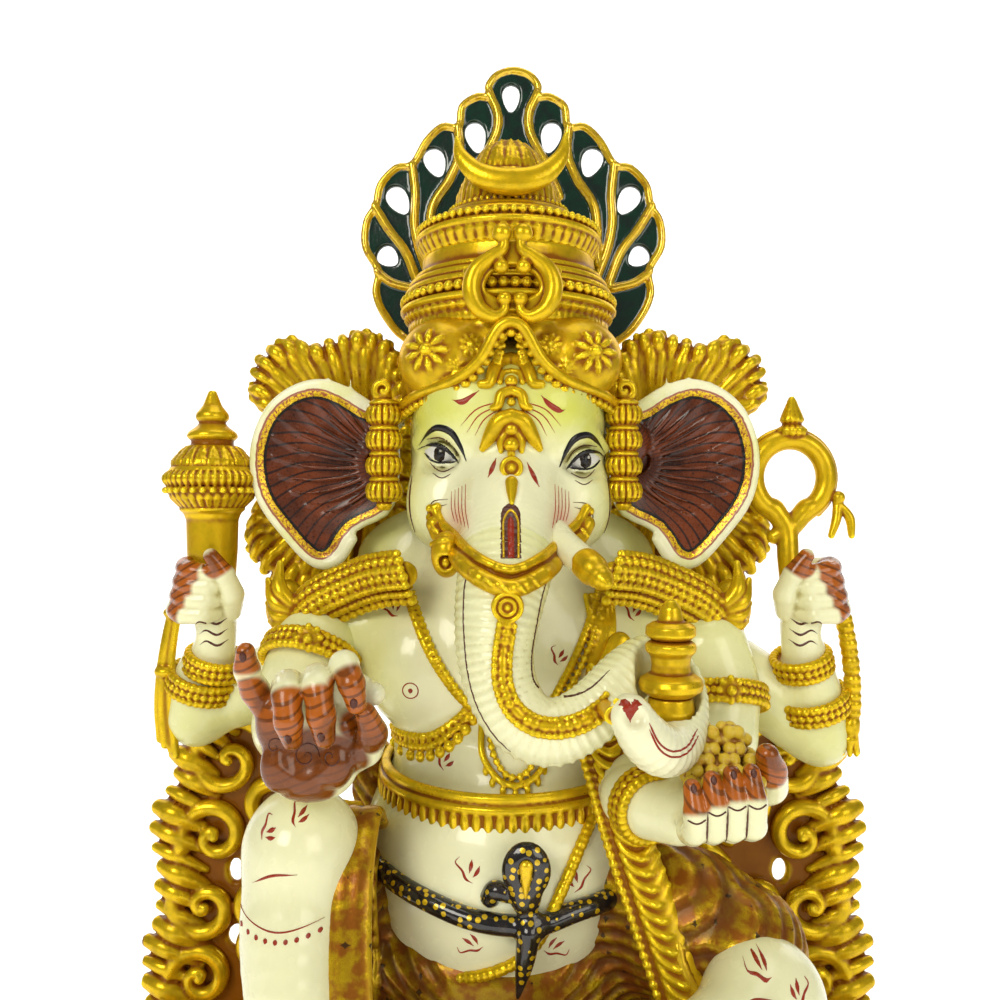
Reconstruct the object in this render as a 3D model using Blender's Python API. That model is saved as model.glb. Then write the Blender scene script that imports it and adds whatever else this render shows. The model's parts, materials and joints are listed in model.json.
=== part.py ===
"""Seated Ganesha idol in painted cast marble, 457 mm tall, as separate castings.

Z is up, the figure faces -Y and its right hand side is at -X.  The origin is the
middle of the felt under the plinth.  Numbers below are millimetres; every mesh is
written out in metres.  Each piece is a union of plain shapes, and is then cut clear
of every piece made before it, so neighbours meet with a small even gap.
"""

from math import cos, pi, radians, sin

import bmesh
import bpy
from mathutils import Euler, Matrix, Vector
from mathutils.bvhtree import BVHTree

# ------------------------------------------------------------- driving sizes
MM = 0.001
GAP = 0.3                       # clearance between neighbouring castings
AXIS_Y = 15.0                   # the crown and the head share this upright axis

PLINTH_HALF = (165.0, 107.0)    # half width and half depth of the widest slab
FELT_TOP = 1.7
PLINTH_TOP = 22.0
LOTUS_TOP = 52.0
SEAT_TOP = 72.0
LOTUS_PETALS = 24

BELLY = ((-1.0, 14.0, 133.0), (56.0, 57.0, 57.0))
CHEST = ((3.0, 20.0, 205.0), (58.0, 40.0, 44.0))
HEAD = ((0.0, 14.0, 288.0), (39.0, 42.0, 46.0))
SHOULDER_Z = 215.0
SHOULDER_X = 70.0

CAP_FOOT = 306.0                # heights of the crown's steps
TIER_FOOT = 334.0
BELL_FOOT = 364.0
CROWN_TOP = 413.0
CAP_RADIUS = 43.0
RIM_RADIUS = 43.0
UPPER_RIM_RADIUS = 37.0

FAN_Y = (46.0, 52.0)            # front and back faces of upright plates
PLUME_Y = (31.0, 38.0)
SCROLL_Y = (36.0, 44.0)
EAR_Y = (7.0, 14.0)
EAR_MIDDLE_X = -1.5
FAN_MIDDLE_X = 2.5

# -------------------------------------------------------------------- colours
IVORY = ((0.80, 0.76, 0.52), 0.25, 0.0)
GOLD = ((0.74, 0.50, 0.05), 0.35, 0.7)
GREEN = ((0.01, 0.07, 0.05), 0.2, 0.0)
BLACK = ((0.02, 0.02, 0.02), 0.25, 0.0)
SWEET = ((0.75, 0.55, 0.10), 0.4, 0.0)
STEEL = ((0.55, 0.55, 0.56), 0.35, 1.0)
FELT = ((0.05, 0.09, 0.06), 0.95, 0.0)


# --------------------------------------------------------------------- shapes
class Ball:
    """An ellipsoid, tipped by `turn` degrees about X, Y and Z."""

    def __init__(self, centre, radii, turn=(0, 0, 0), sides=14, rings=9):
        self.centre = Vector(centre)
        self.radii = radii
        self.turn = Euler([radians(angle) for angle in turn])
        self.sides = sides
        self.rings = rings

    def fill(self, bm, grow):
        size = Matrix.Diagonal([radius + grow for radius in self.radii]).to_4x4()
        place = Matrix.Translation(self.centre) @ self.turn.to_matrix().to_4x4()
        bmesh.ops.create_uvsphere(bm, u_segments=self.sides, v_segments=self.rings,
                                  radius=1.0, matrix=place @ size)


def skin(bm, rings, closed=False):
    """Join rings of points into one closed body, with caps unless the rings close."""
    loops = [[bm.verts.new(point) for point in ring] for ring in rings]
    count = len(loops[0])
    spans = len(loops) if closed else len(loops) - 1
    for row in range(spans):
        here = loops[row]
        there = loops[(row + 1) % len(loops)]
        for side in range(count):
            after = (side + 1) % count
            bm.faces.new((here[side], here[after], there[after], there[side]))
    if not closed:
        bm.faces.new(list(reversed(loops[0])))
        bm.faces.new(loops[-1])
    bmesh.ops.recalc_face_normals(bm, faces=bm.faces)


class Tube:
    """A round bar through points (x, y, z, radius), smoothed by `fine` steps a span."""

    def __init__(self, points, fine=1, sides=9, flat=1.0, closed=False):
        self.stations = [Vector(point) for point in points]
        self.fine = fine
        self.sides = sides
        self.flat = flat
        self.closed = closed

    def route(self):
        """The stations, with Catmull-Rom steps between them."""
        stations = self.stations
        count = len(stations)
        if self.fine == 1:
            return stations
        steps = []
        for span in range(count if self.closed else count - 1):
            if self.closed:
                near = [stations[(span + k) % count] for k in (-1, 0, 1, 2)]
            else:
                near = [stations[min(max(span + k, 0), count - 1)] for k in (-1, 0, 1, 2)]
            for step in range(self.fine):
                t = step / self.fine
                steps.append(0.5 * (2 * near[1] + (near[2] - near[0]) * t
                                    + (2 * near[0] - 5 * near[1] + 4 * near[2] - near[3]) * t * t
                                    + (3 * near[1] - near[0] - 3 * near[2] + near[3]) * t ** 3))
        if not self.closed:
            steps.append(stations[-1])
        return steps

    def fill(self, bm, grow):
        route = self.route()
        count = len(route)
        rings = []
        across = None
        for index, station in enumerate(route):
            if self.closed:
                before, after = route[index - 1], route[(index + 1) % count]
            else:
                before, after = route[max(index - 1, 0)], route[min(index + 1, count - 1)]
            along = (after.xyz - before.xyz).normalized()
            if across is None:
                across = along.orthogonal() if abs(along.y) > 0.9 else Vector((0, 1, 0))
            across = (across - along * across.dot(along)).normalized()
            other = along.cross(across)
            centre = station.xyz
            if not self.closed and index == 0:
                centre = centre - along * grow
            if not self.closed and index == count - 1:
                centre = centre + along * grow
            radius = station.w + grow
            deep = station.w * self.flat + grow
            rings.append([centre + across * deep * cos(2 * pi * side / self.sides)
                          + other * radius * sin(2 * pi * side / self.sides)
                          for side in range(self.sides)])
        skin(bm, rings, self.closed)


class Turned:
    """A solid of revolution about an upright axis; `steps` are (radius, height)."""

    def __init__(self, centre, steps, sides=20, tip=(0, 0, 0)):
        self.centre = Vector(centre)
        self.steps = steps
        self.sides = sides
        self.tip = Euler([radians(angle) for angle in tip]).to_matrix()

    def fill(self, bm, grow):
        rings = []
        last = len(self.steps) - 1
        for index, (radius, height) in enumerate(self.steps):
            lift = -grow if index == 0 else grow if index == last else 0.0
            rings.append([self.centre + self.tip @ Vector((
                (radius + grow) * cos(2 * pi * side / self.sides),
                (radius + grow) * sin(2 * pi * side / self.sides),
                height + lift)) for side in range(self.sides)])
        skin(bm, rings)


class Slab:
    """A stack of rounded rectangles (half_x, half_y, height) with a scalloped edge."""

    def __init__(self, steps, scallops=0, depth=0.0, sides=40, centre=(0.0, 0.0)):
        self.steps = steps
        self.scallops = scallops
        self.depth = depth
        self.sides = sides
        self.centre = centre

    def fill(self, bm, grow):
        rings = []
        last = len(self.steps) - 1
        for index, (half_x, half_y, height) in enumerate(self.steps):
            lift = -grow if index == 0 else grow if index == last else 0.0
            ring = []
            for side in range(self.sides):
                angle = 2 * pi * side / self.sides
                wave = self.depth * (0.5 + 0.5 * cos(self.scallops * angle))
                reach = (abs(cos(angle)) ** 4 + abs(sin(angle)) ** 4) ** -0.25
                ring.append((self.centre[0] + (half_x + grow - wave) * reach * cos(angle),
                             self.centre[1] + (half_y + grow - wave) * reach * sin(angle),
                             height + lift))
            rings.append(ring)
        skin(bm, rings)


class Plate:
    """An upright plate: an outline of (x, z) points between two depths."""

    def __init__(self, outline, depths, mirror_x=None):
        if mirror_x is not None:
            outline = [(2 * mirror_x - x, z) for x, z in reversed(outline)]
        self.outline = outline
        self.depths = depths

    def fill(self, bm, grow):
        middle = Vector((sum(x for x, _ in self.outline), sum(z for _, z in self.outline)))
        middle /= len(self.outline)
        points = []
        for x, z in self.outline:
            away = Vector((x, z)) - middle
            points.append(Vector((x, z)) + away.normalized() * grow)
        front = [(p.x, self.depths[0] - grow, p.y) for p in points]
        back = [(p.x, self.depths[1] + grow, p.y) for p in points]
        skin(bm, [front, back])


def oval(centre, half_wide, half_high, depths, lean=0.0, sides=8):
    """An oval plug through an upright plate."""
    points = []
    for side in range(sides):
        angle = 2 * pi * side / sides
        x, z = half_wide * cos(angle), half_high * sin(angle)
        points.append((centre[0] + x * cos(lean) - z * sin(lean),
                       centre[1] + x * sin(lean) + z * cos(lean)))
    return Plate(points, (depths[0] - 5.0, depths[1] + 5.0))


def mirrored(points, middle=0.0):
    """The same points on the other side of the upright plane at x = middle."""
    return [(2 * middle - point[0],) + tuple(point[1:]) for point in points]


# --------------------------------------------------------------- making nodes
made = []


def solid(name, shape, grow=0.0):
    """One shape as a hidden helper object."""
    bm = bmesh.new()
    shape.fill(bm, grow)
    bmesh.ops.scale(bm, vec=(MM, MM, MM), verts=bm.verts)
    mesh = bpy.data.meshes.new(name)
    bm.to_mesh(mesh)
    bm.free()
    helper = bpy.data.objects.new(name, mesh)
    bpy.context.scene.collection.objects.link(helper)
    helper.hide_render = True
    helper.display_type = "WIRE"
    return helper


def tree_of(helper):
    """A search tree of an object's evaluated faces."""
    depsgraph = bpy.context.evaluated_depsgraph_get()
    return BVHTree.FromObject(helper, depsgraph)


def apart(a, b):
    """Whether the bounding boxes of two objects keep apart."""
    corners_a = [Vector(corner) for corner in a.bound_box]
    corners_b = [Vector(corner) for corner in b.bound_box]
    return any(min(c[axis] for c in corners_a) > max(c[axis] for c in corners_b)
               or min(c[axis] for c in corners_b) > max(c[axis] for c in corners_a)
               for axis in range(3))


def carve(body, tool, operation):
    """One Boolean, applied at once; the second solver steps in where the first leaves nothing."""
    modifier = body.modifiers.new(operation.lower(), "BOOLEAN")
    modifier.operation = operation
    modifier.object = tool
    for solver in ("EXACT", "MANIFOLD"):
        modifier.solver = solver
        depsgraph = bpy.context.evaluated_depsgraph_get()
        mesh = bpy.data.meshes.new_from_object(body.evaluated_get(depsgraph))
        if mesh.polygons:
            break
    body.modifiers.remove(modifier)
    body.data = mesh


def volume(island):
    """The volume inside a closed set of triangles, given by its vertices."""
    faces = {face for vert in island for face in vert.link_faces}
    corners = [[vert.co for vert in face.verts] for face in faces]
    return abs(sum(a.dot(b.cross(c)) for a, b, c in corners)) / 6


def keep_main_body(mesh):
    """Drop the crumbs that a cut leaves beside the main body, and tidy its faces."""
    bm = bmesh.new()
    bm.from_mesh(mesh)
    bmesh.ops.triangulate(bm, faces=bm.faces)
    left = set(bm.verts)
    islands = []
    while left:
        stack = [left.pop()]
        island = set(stack)
        while stack:
            for edge in stack.pop().link_edges:
                for vert in edge.verts:
                    if vert in left:
                        left.discard(vert)
                        island.add(vert)
                        stack.append(vert)
        islands.append(island)
    islands.sort(key=volume, reverse=True)
    for island in islands[1:]:
        bmesh.ops.delete(bm, geom=list(island), context="VERTS")
    bm.to_mesh(mesh)
    bm.free()


def paint(body, look):
    """The node's own material."""
    colour, roughness, metallic = look
    material = bpy.data.materials.new(body.name)
    material.use_nodes = True
    shader = material.node_tree.nodes["Principled BSDF"]
    shader.inputs["Base Color"].default_value = (*colour, 1.0)
    shader.inputs["Roughness"].default_value = roughness
    shader.inputs["Metallic"].default_value = metallic
    material.diffuse_color = (*colour, 1.0)
    body.data.materials.clear()
    body.data.materials.append(material)


def node(name, look, shapes, holes=()):
    """A named piece: its shapes united, its holes cut, then cleared of earlier pieces."""
    body = solid(name, shapes[0])
    for shape in shapes[1:]:
        tool = solid(name + "_shape", shape)
        carve(body, tool, "UNION")
        bpy.data.objects.remove(tool)
    for shape in holes:
        tool = solid(name + "_hole", shape)
        carve(body, tool, "DIFFERENCE")
        bpy.data.objects.remove(tool)
    for earlier in made:
        for tool in earlier:
            if not apart(body, tool) and tree_of(body).overlap(tree_of(tool)):
                carve(body, tool, "DIFFERENCE")
    made.append([solid(name + "_clearance", shape, GAP) for shape in shapes])
    keep_main_body(body.data)
    paint(body, look)
    body.hide_render = False
    body.display_type = "TEXTURED"
    body.data.shade_smooth()
    body.data.set_sharp_from_angle(angle=radians(40))
    return body


# ---------------------------------------------------------------------- base
def build_base():
    half_x, half_y = PLINTH_HALF
    node("felt_pad", FELT, [Slab([(half_x - 7, half_y - 7, 0.0), (half_x - 7, half_y - 7, FELT_TOP)])])
    node("lotus_plinth", GOLD, [
        Slab([
            (half_x - 2, half_y - 2, FELT_TOP + GAP),
            (half_x, half_y, 6.0),
            (half_x, half_y, 14.0),
            (half_x - 6, half_y - 6, PLINTH_TOP)]),
        Slab([
            (half_x - 14, half_y - 10, PLINTH_TOP - 2),
            (half_x - 20, half_y - 18, 32.0),
            (half_x - 13, half_y - 10, LOTUS_TOP)],
            scallops=LOTUS_PETALS, depth=3.0, sides=LOTUS_PETALS * 2)])
    node("seat_cushion", GOLD, [Slab([
        (82.0, 74.0, LOTUS_TOP + GAP),
        (86.0, 78.0, 58.0),
        (86.0, 78.0, 66.0),
        (81.0, 73.0, SEAT_TOP)], sides=28, centre=(0.0, 4.0))])


# --------------------------------------------------------------- inner pins
def build_pins():
    """Steel pins cast into the shoulders and the crown; they carry the thin castings."""
    for side, label in ((-1, "right"), (1, "left")):
        node("arm_pin_" + label, STEEL, [Tube([
            (side * 58, 26, 212, 3.0), (side * 88, 24, 202, 3.0)], sides=8)])


# -------------------------------------------------------------------- figure
def build_figure():
    node("torso", IVORY, [
        Ball(*BELLY, sides=16, rings=10),
        Ball(*CHEST, sides=14, rings=8),
        Ball((-34, 2, 207), (23, 20, 27), sides=12, rings=7),
        Ball((37, 2, 206), (22, 20, 27), sides=12, rings=7),
        Tube([(-SHOULDER_X, 22, SHOULDER_Z, 20.0), (-50, 20, 218, 26.0),
              (50, 20, 218, 26.0), (SHOULDER_X, 22, SHOULDER_Z - 2, 20.0)], sides=10),
        Tube([(0, 18, 225, 36.0), (0, 16, 258, 33.0)], sides=10),
    ])
    node("head", IVORY, [
        Ball(*HEAD, sides=16, rings=10),
        Ball((-19, -4, 266), (19, 20, 21), rings=7),
        Ball((20, -4, 266), (19, 20, 21), rings=7),
        Ball((0, 10, 300), (36, 42, 30), rings=7),
    ])
    node("trunk", IVORY, [Tube([
        (0, -8, 274, 20.0), (0, -24, 263, 18.5), (-1, -36, 254, 17.0), (-2, -46, 245, 15.5),
        (-4, -53, 234, 14.0), (-5, -56, 222, 12.5), (-3, -59, 211, 11.5), (2, -61, 202, 11.0),
        (11, -62, 197, 10.5), (21, -62, 200, 10.0), (30, -61, 207, 9.5), (39, -57, 214, 9.0),
        (49, -47, 218, 8.5), (60, -43, 214, 8.2), (67, -51, 207, 8.0), (64, -64, 202, 8.0),
        (54, -75, 199, 8.0), (43, -82, 202, 7.8), (34, -84, 209, 7.0)], sides=12)])
    for side, label in ((-1, "right"), (1, "left")):
        outline = [(-44, 300), (-56, 307), (-66, 313), (-76, 315), (-87, 311), (-96, 302), (-100, 288),
                   (-97, 271), (-88, 257), (-76, 246), (-68, 247), (-60, 258), (-44, 268)]
        mirror = None if side < 0 else EAR_MIDDLE_X
        ring = [(side * abs(x - EAR_MIDDLE_X) + EAR_MIDDLE_X, EAR_Y[0] + 2, z, 4.0)
                for x, z in outline[:-2]]
        node("ear_" + label, IVORY, [Plate(outline, EAR_Y, mirror_x=mirror), Tube(ring, sides=6)])
    node("tusk_left", IVORY, [Tube([
        (17, -34, 256, 5.5), (24, -47, 251, 5.0), (29, -58, 246, 4.5)], sides=10)])
    node("tusk_ferrule", GOLD, [Tube([
        (29.2, -58.4, 245.8, 6.0), (31.5, -64, 243.5, 5.5), (33.0, -67.0, 242.0, 2.5)], sides=10)])
    node("broken_tusk_cap", GOLD, [Ball((-21.5, -38, 251.5), (5.5, 7.0, 8.0), (20, 0, 0), 10, 7)])


# --------------------------------------------------------------------- crown
def build_crown():
    axis = (0.0, AXIS_Y, 0.0)
    node("crown_cap", GOLD, [Turned(axis, [
        (CAP_RADIUS - 1, CAP_FOOT), (CAP_RADIUS, CAP_FOOT + 8), (CAP_RADIUS - 1, CAP_FOOT + 20),
        (CAP_RADIUS - 4, TIER_FOOT - GAP)], sides=20)])
    node("crown_lower_tier", GOLD, [Turned(axis, [
        (39.5, TIER_FOOT), (41, 341), (RIM_RADIUS, 347), (RIM_RADIUS, 351),
        (RIM_RADIUS - 5, 355), (35, BELL_FOOT - GAP)], sides=20)])
    node("crown_upper_tier", GOLD, [Turned(axis, [
        (33, BELL_FOOT), (34, 368), (UPPER_RIM_RADIUS, 372), (UPPER_RIM_RADIUS, 378),
        (30, 382), (24, 389), (20, 396), (13, 403), (12, 408), (5, CROWN_TOP)], sides=20)])
    node("crown_crescent", GOLD, [
        Tube([(-19, -6, 405, 1.2), (-16, -7, 396, 3.0), (-9, -8, 388, 4.4), (1, -8, 385, 5.0),
              (11, -8, 388.5, 4.4), (18, -7, 397, 3.0), (21, -6, 407, 1.2)], sides=8),
        Tube([(1, -6, 386, 3.0), (1, 0, 388, 3.0)], sides=8)])
    node("crown_medallion", GOLD, [Plate([
        (-8, 366), (-16, 356), (-17, 345), (-9, 334), (1, 337), (11, 334),
        (19, 345), (18, 356), (10, 366), (1, 361)], (-35.0, -26.0))],
        holes=[oval((1, 350), 6.0, 6.5, (-35.0, -26.0))])
    half_fan = [(0, 457), (8, 454), (11, 443), (24, 436), (32, 426), (44, 415), (55, 405), (61, 394),
                (61, 372), (54, 362), (54, 350), (45, 338), (30, 334)]
    outline = [(FAN_MIDDLE_X + x, z) for x, z in half_fan + mirrored(reversed(half_fan[1:]))]
    fan_holes = [oval((FAN_MIDDLE_X - 1, 445), 3.8, 6.0, FAN_Y)]
    for side in (-1, 1):
        for x, z, wide, high, lean in ((15, 429, 4.2, 6.3, 0.2), (32, 417, 4.2, 6.3, 0.4),
                                       (47, 401, 5.5, 7.5, 0.6), (51, 374, 4.5, 4.5, 0.9)):
            fan_holes.append(oval((FAN_MIDDLE_X + side * x, z), wide, high, FAN_Y, lean=-side * lean))
    node("feather_fan", GREEN, [Plate(outline, FAN_Y)], holes=fan_holes)


# ----------------------------------------------------------- face ornaments
def build_face_ornaments():
    node("forehead_pendant", GOLD, [
        Tube([(0, -28, 318, 6.0), (0, -32, 309, 9.5), (0, -33, 300, 6.5), (0, -32, 294, 5.5),
              (0, -32, 285, 4.0), (0, -31, 277, 1.5)], sides=8, flat=0.55)])
    node("brow_swags", GOLD, [Tube([
        (-42, 4, 303, 3.2), (-33, -14, 307, 3.2), (-20, -27, 313, 3.2), (-8, -31, 321, 3.2),
        (0, -31, 326, 3.2), (8, -31, 321, 3.2), (20, -27, 313, 3.2), (33, -14, 307, 3.2),
        (42, 4, 303, 3.2)], sides=7)])
    node("trunk_band", GOLD, [Tube([
        (-26, -24, 262, 3.0), (-21, -42, 257, 3.2), (-12, -57, 250, 3.4), (0, -63, 246, 3.8),
        (12, -57, 250, 3.4), (21, -43, 257, 3.2), (27, -25, 261, 3.0)], sides=8)])
    node("trunk_strap", GOLD, [
        Ball((-1, -66, 237), (5.5, 3.5, 5.5), sides=10, rings=6),
        Tube([(-1, -67, 234, 3.0), (-2, -68.5, 222, 3.0), (0, -70.5, 212, 3.0), (5, -72, 205, 3.0),
              (14, -73, 201, 3.0), (23, -72, 203, 3.0), (31, -69, 208, 3.0)], sides=7, flat=0.8)])
    for side, label in ((-1, "right"), (1, "left")):
        x = side * 45.2 - 1.8
        steps = [(3.0, 268)]
        for bead in range(4):
            foot = 270 + bead * 9.5
            steps += [(6.8, foot + 1), (7.0, foot + 6), (5.0, foot + 8.5)]
        node("earring_" + label, GOLD, [Turned((x, -4, 0), steps + [(3.5, 312)], sides=10)])


# ----------------------------------------------------------- body ornaments
def build_body_ornaments():
    for side, label in ((-1, "right"), (1, "left")):
        node("shoulder_collar_" + label, GOLD, [
            Tube([(side * 38, -20, 243, 5.0), (side * 58, -6, 238, 7.0), (side * 74, 0, 230, 8.0),
                  (side * 86, 6, 219, 6.0)], sides=8, flat=0.7),
            Ball((side * 88, 10, 227), (10, 9, 13), sides=10, rings=7)])
    node("chest_chains", GOLD, [
        Tube([(-41, -15, 240, 3.4), (-34, -20, 226, 3.4), (-25, -24, 211, 3.4), (-15, -27, 197, 3.4),
              (0, -28, 191, 3.4), (14, -26, 199, 3.4), (23, -24, 213, 3.4), (31, -20, 228, 3.4),
              (37, -14, 240, 3.4)], sides=8),
        Tube([(-55, -4, 184, 4.0), (-45, -17, 181, 4.5), (-30, -26, 183, 4.5), (-16, -29, 193, 4.0)],
             sides=8),
        Tube([(-9, -29, 193, 3.0), (-9, -34, 177, 3.4), (2, -36, 171, 3.4), (12, -35, 176, 3.4),
              (12, -29, 195, 3.0)], sides=8)])
    waist = []
    for step in range(13):
        angle = radians(-200 + 220 * step / 12)
        waist.append((-2 + 53 * cos(angle), 13 + 54 * sin(angle), 164 - 3 * sin(angle) * -1, 4.6))
    node("waistband", GOLD, [Tube(waist, sides=8)])
    node("serpent_belt", BLACK, [
        Tube([(-53, -8, 139, 3.8), (-46, -20, 137, 3.9), (-32, -32, 134, 4.0), (-14, -39, 131, 4.1),
              (2, -42, 130, 4.2), (16, -41, 131, 4.1), (30, -35, 131, 4.0), (44, -24, 132, 3.9),
              (52, -10, 133, 3.8)], sides=8),
        Ball((5, -46, 148), (8.5, 4.5, 11.0), sides=10, rings=7),
        Tube([(5, -45, 140, 5.0), (4, -46, 128, 5.0), (3, -44, 107, 2.0)], sides=8)])
    node("sacred_thread", GOLD, [Tube([
        (30, -34, 158, 2.2), (20, -40, 143, 2.2), (9, -42, 121, 2.2), (-3, -41, 113, 2.2),
        (-20, -37, 104, 2.2), (-36, -27, 101, 2.2)], sides=7)])
    node("sash_garland", GOLD, [
        Tube([(40, -18, 218, 5.0), (30, -26, 200, 5.0), (34, -30, 186, 6.0), (38, -33, 170, 6.5),
              (43, -36, 152, 7.0), (52, -42, 128, 7.5), (61, -50, 104, 7.5), (66, -60, 84, 6.0)],
             sides=8, flat=0.8)])


# ---------------------------------------------------------------------- arms
def back_arm(side, label, elbow_z):
    """A raised rear arm: upper arm, then forearm with its hand, and the bangles."""
    elbow = (side * 124, 16, elbow_z)
    wrist_z = 218.0
    node("arm_back_" + label, IVORY, [
        Tube([(side * 76, 25, 207, 16.0), (side * 98, 21, 196, 14.0), (side * 115, 18, elbow_z + 5, 12.0),
              (*elbow, 11.0)], sides=9),
        Tube([(*elbow, 12.0), (side * 118, 12, (elbow_z + wrist_z) / 2, 10.5),
              (side * 114, 9, wrist_z, 8.0), (side * 115, 8, 228, 8.5)], sides=9),
        Ball((side * 117, 8, 236), (13, 9, 12), sides=10, rings=7),
        Tube([(side * 110, 4, 230, 4.0), (side * 107, -2, 240, 3.6), (side * 109, -4, 250, 3.0)], sides=6),
        Tube([(side * 122, 4, 232, 7.0), (side * 129, 4, 243, 5.0), (side * 127, -2, 250, 3.5)],
             sides=6)])
    for row, label_row in ((0, "wrist"), (1, "elbow")):
        z = (206.0, elbow_z + 14.0)[row]
        x = (115.8, 120.0)[row]
        radius = (12.0, 14.5)[row]
        node("bangle_" + label_row + "_back_" + label, GOLD, [Turned(
            (side * x, 12 + row, z), [(radius - 1, -4), (radius, -2), (radius, 2), (radius - 1, 4)],
            sides=12, tip=(12, -side * 16, 0))])


def build_back_arms():
    back_arm(-1, "right", 184.0)
    back_arm(1, "left", 176.0)
    node("mace", GOLD, [Turned((-117, 12, 0), [
        (4.0, 224), (4.0, 250), (8.0, 255), (11.0, 265), (11.5, 268), (13.0, 271), (16.5, 278),
        (18.2, 279), (18.2, 281.5), (17.0, 284), (16.5, 289), (10.5, 293), (10.3, 297.5), (6.5, 299),
        (6.5, 303), (3.0, 308), (1.0, 314)], sides=14)])
    loop = [(112 + 15 * sin(angle), 14, 279 + 15 * cos(angle), 4.2)
            for angle in [radians(-150 + 300 * step / 11) for step in range(12)]]
    node("noose", GOLD, [
        Tube(loop, sides=8),
        Tube([(105, 14, 268, 4.0), (110, 13, 258, 4.2), (110, 11, 246, 4.2), (112, 10, 226, 4.0)],
             sides=8),
        Tube([(121, 14, 267, 4.0), (112, 13, 259, 4.0), (106, 13, 256, 3.0)], sides=8),
        Turned((112.8, 14, 0), [(3.5, 294), (6.0, 297), (3.5, 300), (5.0, 302), (1.0, 311)], sides=10)])


def build_front_arms():
    node("arm_front_right", IVORY, [
        Tube([(-74, 2, 214, 17.0), (-78, -8, 200, 15.5), (-78, -18, 188, 14.0), (-78, -21, 186, 13.5)],
             sides=9),
        Tube([(-78, -18, 187, 13.5), (-70, -38, 188, 12.0), (-62, -60, 193, 10.0)], sides=9),
        Ball((-61, -66, 198), (20, 9, 20), sides=10, rings=7),
        Tube([(-76, -66, 200, 4.5), (-79, -70, 213, 4.0), (-79, -73, 222, 3.0)], sides=6),
        Tube([(-67, -68, 208, 4.8), (-66, -76, 214, 4.8), (-64, -82, 205, 4.2), (-63, -78, 197, 3.6)],
             sides=6),
        Tube([(-57, -68, 209, 4.8), (-56, -76, 215, 4.8), (-55, -82, 206, 4.2), (-54, -78, 198, 3.6)],
             sides=6),
        Tube([(-50, -66, 208, 4.8), (-50, -70, 219, 4.6), (-47, -78, 218, 4.2), (-46, -80, 210, 3.4)],
             sides=6),
        Tube([(-46, -64, 192, 5.2), (-42, -70, 199, 4.8), (-44, -76, 207, 3.8)], sides=6)])
    node("held_tusk", IVORY, [Tube([
        (-48, -66, 213, 3.2), (-42, -70, 211, 3.4)], sides=10)])
    node("armlet_front_right", GOLD, [Turned(
        (-74, -1, 211), [(18.2, -4), (19.5, -2), (19.5, 2), (18.2, 4)], sides=12, tip=(-36, 14, 0))])
    node("bangle_front_right", GOLD, [Turned(
        (-67.5, -45, 189.5), [(12.4, -4), (13.8, -2), (13.8, 2), (12.4, 4)], sides=12, tip=(78, 0, 20))])

    limb = [
        Tube([(76, 4, 212, 17.0), (80, -2, 198, 15.5), (78, -8, 182, 14.5), (77, -11, 178, 13.5)],
             sides=9),
        Tube([(77, -8, 180, 13.5), (66, -26, 172, 12.0), (57, -48, 168, 9.5)], sides=9),
        Ball((66, -58, 170), (17, 15, 8), (20, 0, 0), 10, 6)]
    for index in range(4):
        x = 56.0 + 6.6 * index
        limb.append(Tube([(x, -60, 166, 4.4), (x + 0.5, -74, 165, 4.2), (x + 0.5, -80, 175, 3.8),
                          (x - 0.5, -78, 185, 3.0)], sides=6))
    limb.append(Tube([(80, -54, 172, 4.8), (84, -64, 178, 4.4), (82, -72, 186, 3.4)], sides=6))
    node("arm_front_left", IVORY, limb)
    node("armlet_front_left", GOLD, [Turned(
        (79.5, -3, 195), [(17.2, -4), (18.6, -2), (18.6, 2), (17.2, 4)], sides=12, tip=(-22, 2, 0))])
    node("bangle_front_left", GOLD, [Turned(
        (62, -36, 170), [(12.4, -4), (13.8, -2), (13.8, 2), (12.4, 4)], sides=12, tip=(100, 0, -22))])
    heap = [Ball((67, -62, 184), (14.5, 13.0, 9.5), sides=10, rings=7)]
    node("sweets", SWEET, heap)


def build_pot():
    node("water_pot", GOLD, [Turned((50, -63, 0), [
        (5.0, 196), (7.0, 199), (7.5, 205), (7.0, 208.5), (10.0, 210.5), (10.0, 214.5), (6.4, 217),
        (6.4, 221), (8.0, 222.5), (8.0, 225.5), (6.5, 226.5), (8.0, 228), (8.0, 231), (3.5, 233),
        (3.5, 236), (1.5, 239)], sides=12)])


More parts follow.
